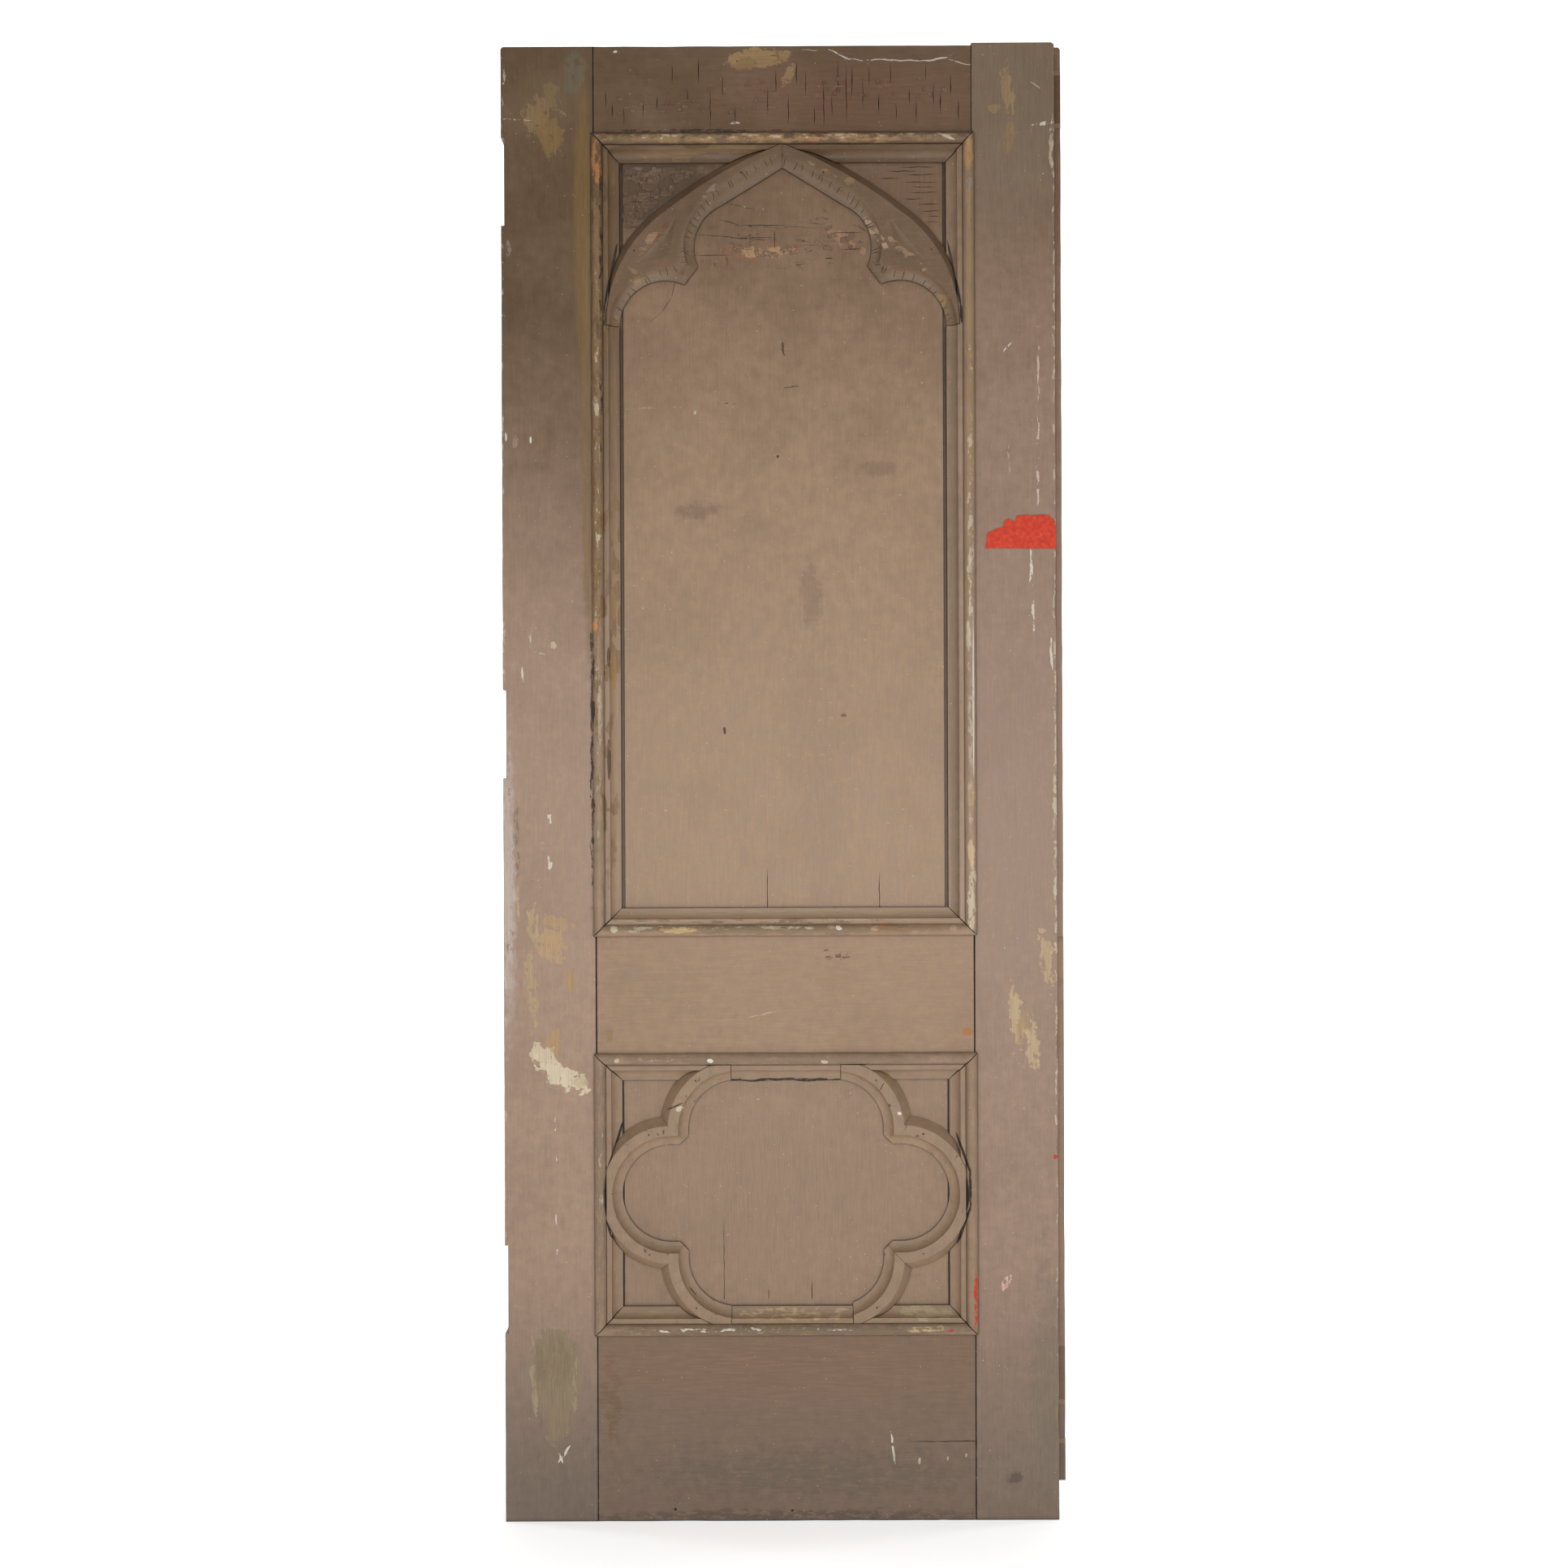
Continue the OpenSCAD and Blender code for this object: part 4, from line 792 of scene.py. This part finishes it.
arch_right_paint = arch_paint("arch_right_paint", [
    (0, 1971), (36, 1955), (69, 1935), (97, 1916), (119, 1894), (133, 1866), (137, 1838), (137, 1816),
    (158, 1808), (185, 1802), (208, 1791), (227, 1769), (238, 1750), (244, 1733),
], [
    (138, 1862, 34, 5, -58, tone(190, 162, 132), 0.8, 0.45, 0.8),
    (176, 1836, 46, 5, -42, tone(176, 146, 116), 0.75, 0.45, 0.8),
    (166, 1816, 30, 4, -8, tone(150, 98, 72), 0.6, 0.3, 0.9, 0.2),
    (226, 1764, 9, 14, -60, ochre, 0.8, 0.75, 0.8),
    (60, 1955, 34, 4, -30, tan, 0.6, 0.4, 0.9),
    (98, 1938, 9, 6, -30, ochre, 0.7, 0.8, 0.7),
])
tracery_y = front_of("arch_left")


def on_tracery_face(co):
    return abs(co.y - tracery_y) < tiny


tracery_wear = {"eased": on_tracery_face, "ease": 0.0007, "wear": 0.0004}
for side, paint in (("left", arch_left_paint), ("right", arch_right_paint)):
    worn_copy(f"arch_{side}_half", f"arch_{side}", paint, axis=ACROSS, step=0.02, **tracery_wear)

# The quatrefoil is a ring sawn from teak in three pieces, hollowed on its inner edge and pinned to the
# lower panel. It meets at a mitre at the lower right, and is cracked through at the upper left,
# where a chip has come away down to pale wood.
# The quatrefoil takes about half the usual grime and painted shade in its hollows and half the usual
# painted shade in its corners.
quatrefoil_paint = old_paint("quatrefoil_paint", "z", [
    (-153, 596, 6, 4, 20, cream, 0.95, 0.8, 0.7),
    (-158, 607, 10, 3, 18, tone(170, 140, 108), 0.7, 0.7, 0.7),
    (-160, 600, 13, 0.9, 24, crack, 0.95, 1.2, 0.3, 0.15),
    (140, 628, 7, 0.7, 60, crack, 0.8, 1.1, 0.3, 0.15),
    (-136, 332, 8, 0.7, -50, crack, 0.8, 1.1, 0.3, 0.15),
    (166, 588, 3, 3, 0, white, 0.95, 1.1, 0.5),
    (0, 640, 120, 4, 0, rubbed_tan, 0.4, 0.3, 1.0, 0.3),
], body=tone(151, 126, 101), dusted=0.2, hollow_grime_and_shade=0.5, corner_shade=0.5,
    hair=((0, 472, 280, 190, 0, crack, 1, 0.4, 0.5, 0.2), (0.02, 1, 0.02)))
for part in ("left", "right", "lower_right"):
    worn_copy(f"quatrefoil_{part}_ring", f"quatrefoil_{part}", quatrefoil_paint, **tracery_wear)

# Scales of paint have lifted and curled in the corner above the arch, round the bare patch below its
# apex and on the top rail. Each is a thin chip of the same oil paint, still held by one edge.


def scale_tree():
    """Chips scattered over a face: each is a thin plate, curled, turned a little and torn at its edge."""
    tree = bpy.data.node_groups.new("paint_scales", "GeometryNodeTree")
    kinds = {"Geometry": "Geometry", "Seed": "Int", "Paint": "Material"}
    for label in ("Geometry", "Density", "Length", "Width", "Thickness", "Curl", "Ragged", "Seed",
                  "Paint"):
        kind = "NodeSocket" + kinds.get(label, "Float")
        tree.interface.new_socket(label, in_out="INPUT", socket_type=kind)
    tree.interface.new_socket("Geometry", in_out="OUTPUT", socket_type="NodeSocketGeometry")
    given = tree.nodes.new("NodeGroupInput").outputs

    def chance(low, high):
        return put(tree, "FunctionNodeRandomValue", {0: low, 1: high, "Seed": given["Seed"]},
                   data_type="FLOAT_VECTOR").outputs[0]

    points = put(tree, "GeometryNodeDistributePointsOnFaces", {
        "Mesh": given["Geometry"], "Density": given["Density"], "Seed": given["Seed"]})
    size = put(tree, "ShaderNodeCombineXYZ", {
        0: given["Length"], 1: given["Width"], 2: given["Thickness"]})
    plate = put(tree, "GeometryNodeMeshCube", {
        "Size": size.outputs[0], "Vertices X": 4, "Vertices Y": 3, "Vertices Z": 2})
    spot = put(tree, "ShaderNodeSeparateXYZ", {0: put(tree, "GeometryNodeInputPosition").outputs[0]})
    share = sums(tree, "DIVIDE", spot.outputs[0], given["Length"])
    lift = sums(tree, "MULTIPLY", sums(tree, "MULTIPLY", share, share), given["Curl"])
    lift = put(tree, "ShaderNodeCombineXYZ", {2: lift})
    curled = put(tree, "GeometryNodeSetPosition", {
        "Geometry": plate.outputs["Mesh"], "Offset": lift.outputs[0]})
    spin = put(tree, "FunctionNodeEulerToRotation", {0: chance((0, 0, -0.5), (0.05, 0.05, 0.5))})
    turned = put(tree, "FunctionNodeRotateRotation", {
        "Rotation": points.outputs["Rotation"], "Rotate By": spin.outputs[0]}, rotation_space="LOCAL")
    placed = put(tree, "GeometryNodeInstanceOnPoints", {
        "Points": points.outputs["Points"], "Instance": curled.outputs[0],
        "Rotation": turned.outputs[0], "Scale": chance((0.45, 0.5, 0.8), (1.4, 1.2, 1.2))})
    whole = put(tree, "GeometryNodeRealizeInstances", {0: placed.outputs[0]})
    cloud = put(tree, "ShaderNodeTexNoise", {"Scale": 160.0, "Detail": 1.0}).outputs["Color"]
    shift = vectors(tree, "SUBTRACT", cloud, (0.5, 0.5, 0.5))
    shift = scaled(tree, vectors(tree, "MULTIPLY", shift, (1, 0, 1)), given["Ragged"])
    torn = put(tree, "GeometryNodeSetPosition", {"Geometry": whole.outputs[0], "Offset": shift})
    painted = put(tree, "GeometryNodeSetMaterial", {
        "Geometry": torn.outputs[0], "Material": given["Paint"]})
    put(tree, "NodeGroupOutput", {"Geometry": painted.outputs[0]})
    return tree


paint_scales = scale_tree()
film_t = 0.0001
scale_t = 0.0003


def laid_out(outline, y):
    """An outline of (x, z) corners in millimetres, laid on a plane."""
    return [(x / mm_in_metre, y, z / mm_in_metre) for x, z in outline]


def lifted_scales(name, plane_y, areas, paint, **sizes):
    """Scales over some areas of a flat face, each area an outline."""
    mesh = bpy.data.meshes.new(name)
    corners, faces = [], []
    for area in areas:
        faces.append(range(len(corners), len(corners) + len(area)))
        corners += laid_out(area, plane_y - film_t)
    mesh.from_pydata(corners, [], faces)
    piece = into_scene(name, mesh)
    grow = piece.modifiers.new("scales", "NODES")
    grow.node_group = paint_scales
    keys = {s.name: s.identifier for s in paint_scales.interface.items_tree
            if s.item_type == "SOCKET" and s.in_out == "INPUT"}
    for label, value in sizes.items():
        grow[keys[label.capitalize()]] = value
    grow[keys["Paint"]] = paint
    seen = piece.evaluated_get(bpy.context.evaluated_depsgraph_get())
    made = bpy.data.meshes.new_from_object(seen)
    piece.modifiers.remove(grow)
    piece.data = made
    made.name = name
    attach(piece, "root")


scale_paint = old_paint("paint_scale_finish", "x", [
    # Painted shade: scales in the left spandrel take the same darker tone as the panel there.
    (-170, 1920, 90, 60, 0, tone(108, 84, 63), 0.85, 0.7, 0.7, 0.2),
    (-20, 1842, 70, 20, 0, tone(176, 134, 100), 0.8, 0.5, 0.9, 0.2),
    (60, 2070, 160, 30, 0, tone(118, 62, 46), 0.7, 0.35, 0.9, 0.2),
], sooted=(1350, 1950, 0.8), dusted=0)
lifted_scales("spandrel_paint_scales", panel_y, [
    [(-226, 1960), (-226, 1872), (-200, 1898), (-168, 1925), (-130, 1947), (-104, 1960)],
], scale_paint, density=16000.0, length=0.014, width=0.008, thickness=scale_t, curl=0.0016,
    ragged=0.003, seed=4)
lifted_scales("panel_paint_scales", panel_y, [
    [(-80, 1834), (50, 1832), (52, 1850), (-76, 1852)],
    [(40, 1842), (92, 1836), (118, 1868), (70, 1878)],
], scale_paint, density=5000.0, length=0.010, width=0.005, thickness=scale_t, curl=0.0012,
    ragged=0.003, seed=9)
lifted_scales("top_rail_paint_scales", face_y, [
    [(20, 2056), (240, 2060), (240, 2086), (20, 2090)],
    [(-250, 2036), (10, 2036), (10, 2060), (-250, 2060)],
], scale_paint, density=2600.0, length=0.006, width=0.005, thickness=scale_t, curl=0.0010,
    ragged=0.003, seed=5)

# Two wedges are driven beside each through tenon and sawn off flush with the stile's edge.
# They are teak, left bare, and show as end grain under old grime.


def bare_teak(name):
    made, tree, place = bare_material(name)
    drawn = put(tree, "ShaderNodeMapping", {"Vector": place, "Scale": (40, 900, 900)}).outputs[0]
    grain = speckle(tree, drawn, 1.0, 5)
    colour = blend(tree, grain, tone(132, 108, 88), tone(162, 136, 114))
    bump = put(tree, "ShaderNodeBump", {"Height": grain, "Strength": 0.4, "Distance": 0.0004})
    surface(tree, {"Base Color": colour, "Roughness": 0.7, "Normal": bump.outputs[0]})
    return made


def finish_node(node, material):
    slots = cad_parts[node].data.materials
    slots.clear()
    slots.append(material)


wedge_teak = bare_teak("wedge_teak")
for node in ("hinge_stile_wedges", "closing_stile_wedges"):
    finish_node(node, wedge_teak)

# Cut iron brads hold the mouldings to the frame, and fine iron pins hold the tracery to the panels.
# They are driven from the front, set below the face and painted over.


def dull_iron(name):
    made, tree, place = bare_material(name)
    rust = speckle(tree, place, 700.0, 4)
    colour = blend(tree, ramp(tree, rust, 0.42, 0.62), tone(62, 56, 52), tone(104, 62, 40))
    surface(tree, {
        "Base Color": colour, "Roughness": ramp(tree, rust, 0.3, 0.7, 0.45, 0.85), "Metallic": 0.6})
    return made


brad_iron = dull_iron("brad_iron")
for node in ("moulding_brads", "tracery_pins"):
    finish_node(node, brad_iron)

# A scrap of red paper is stuck to the closing stile. It is one thin plain sheet, pasted on,
# straight along its foot and torn along its upper edge.
scrap_outline = [
    (292, 1406), (395, 1405), (395, 1436), (392, 1446), (385, 1453), (372, 1454), (360, 1453),
    (351, 1454), (344, 1453), (338, 1453), (336, 1441), (331, 1440), (329, 1448), (321, 1447),
    (318, 1436), (313, 1431), (308, 1434), (302, 1430), (296, 1428),
]
scrap_t = 0.0002
scrap_foot_z = 1.408
tear = 0.0012
buckle = 0.0002
bm = bmesh.new()
bm.faces.new([bm.verts.new(corner) for corner in laid_out(scrap_outline, face_y - scrap_t)])
bmesh.ops.triangulate(bm, faces=bm.faces[:])
bmesh.ops.subdivide_edges(bm, edges=bm.edges[:], cuts=3, use_grid_fill=True)
for v in bm.verts:
    rag = noise.noise(v.co * 260)
    if v.is_boundary and v.co.z > scrap_foot_z:
        v.co += Vector((rag, 0, noise.noise(v.co * 310 + Vector((9, 0, 0))))) * tear
    v.co.y -= buckle * max(0.0, rag)
bmesh.ops.recalc_face_normals(bm, faces=bm.faces[:])
mesh = bpy.data.meshes.new("red_paper_scrap")
bm.to_mesh(mesh)
bm.free()
scrap = into_scene("red_paper_scrap", mesh)
thick = scrap.modifiers.new("paper", "SOLIDIFY")
thick.thickness = scrap_t
thick.offset = 0
red_paper, tree, place = bare_material("red_paper")
fibre = speckle(tree, place, 160.0, 5)
colour = blend(tree, ramp(tree, fibre, 0.35, 0.7), tone(200, 44, 8), tone(220, 62, 20))
scuffs = speckle(tree, place, 420.0, 3)
colour = blend(tree, ramp(tree, scuffs, 0.72, 0.76, 0, 0.7), colour, tone(236, 214, 200))
surface(tree, {"Base Color": colour, "Roughness": 0.5})
mesh.materials.append(red_paper)
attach(scrap, "root")

# The leaf stands on a plain pale floor that sweeps up behind it into a pale wall, in soft studio light.
# A broad soft lamp stands before it at half its height, a small one above, and two light the wall.
floor_front = -6.0
bend_y = 3.0
bend_r = 1.5
wall_top = 7.0
half_wide = 9
bends = [math.radians(a) for a in range(10, 91, 10)]
sweep = [(floor_front, 0.0), (bend_y, 0.0)]
sweep += [(bend_y + bend_r * math.sin(a), bend_r - bend_r * math.cos(a)) for a in bends]
sweep += [(bend_y + bend_r, wall_top)]
bm = bmesh.new()
left = [bm.verts.new((-half_wide, y, z)) for y, z in sweep]
right = [bm.verts.new((half_wide, y, z)) for y, z in sweep]
for i in range(len(sweep) - 1):
    bm.faces.new((left[i], right[i], right[i + 1], left[i + 1]))
mesh = bpy.data.meshes.new("studio_sweep")
bm.to_mesh(mesh)
bm.free()
mesh.shade_smooth()
studio_sweep = into_scene("studio_sweep", mesh)
pale = bpy.data.materials.new("studio_pale")
pale.use_nodes = True
plain = pale.node_tree.nodes["Principled BSDF"].inputs
plain["Base Color"].default_value = (0.9, 0.9, 0.9, 1)
plain["Roughness"].default_value = 0.95
plain["Emission Color"].default_value = (1, 1, 1, 1)
plain["Emission Strength"].default_value = 0.5
mesh.materials.append(pale)


def lamp(name, place, aim, size, watts):
    """A soft oblong lamp that stands at a place and points at another."""
    light = bpy.data.lights.new(name, "AREA")
    light.shape = "RECTANGLE"
    light.size, light.size_y = size
    light.energy = watts
    made = into_scene(name, light)
    made.location = place
    made.rotation_euler = (Vector(aim) - Vector(place)).to_track_quat("-Z", "Y").to_euler()
    made.visible_camera = False


lamp("front_soft_lamp", (0.15, -1.7, 0.98), (0.1, 0, 0.98), (1.8, 0.5), 16.6)
lamp("top_fill_lamp", (0.0, -1.0, 3.1), (0, 0, 1.9), (1.6, 0.5), 5)
lamp("wall_lamp_left", (-3.2, 0.9, 2.6), (-1.5, 4.5, 1.4), (2.0, 2.0), 90)
lamp("wall_lamp_right", (3.2, 0.9, 2.6), (1.5, 4.5, 1.4), (2.0, 2.0), 90)
world = bpy.data.worlds.new("studio_air")
bpy.context.scene.world = world
world.use_nodes = True
world.node_tree.nodes["Background"].inputs["Color"].default_value = (1, 1, 1, 1)
world.node_tree.nodes["Background"].inputs["Strength"].default_value = 0.15
bpy.context.scene.view_settings.view_transform = "Standard"

camera = into_scene("camera", bpy.data.cameras.new("camera"))
camera.data.sensor_width = 36
camera.data.lens = 50
camera_place = (0.0, -3.17, 1.066)
camera_lean = math.radians(-0.22)
camera.matrix_world = (Matrix.Translation(camera_place) @ Matrix.Rotation(math.pi / 2, 4, "X")
                       @ Matrix.Rotation(camera_lean, 4, "Z"))
bpy.context.scene.camera = camera
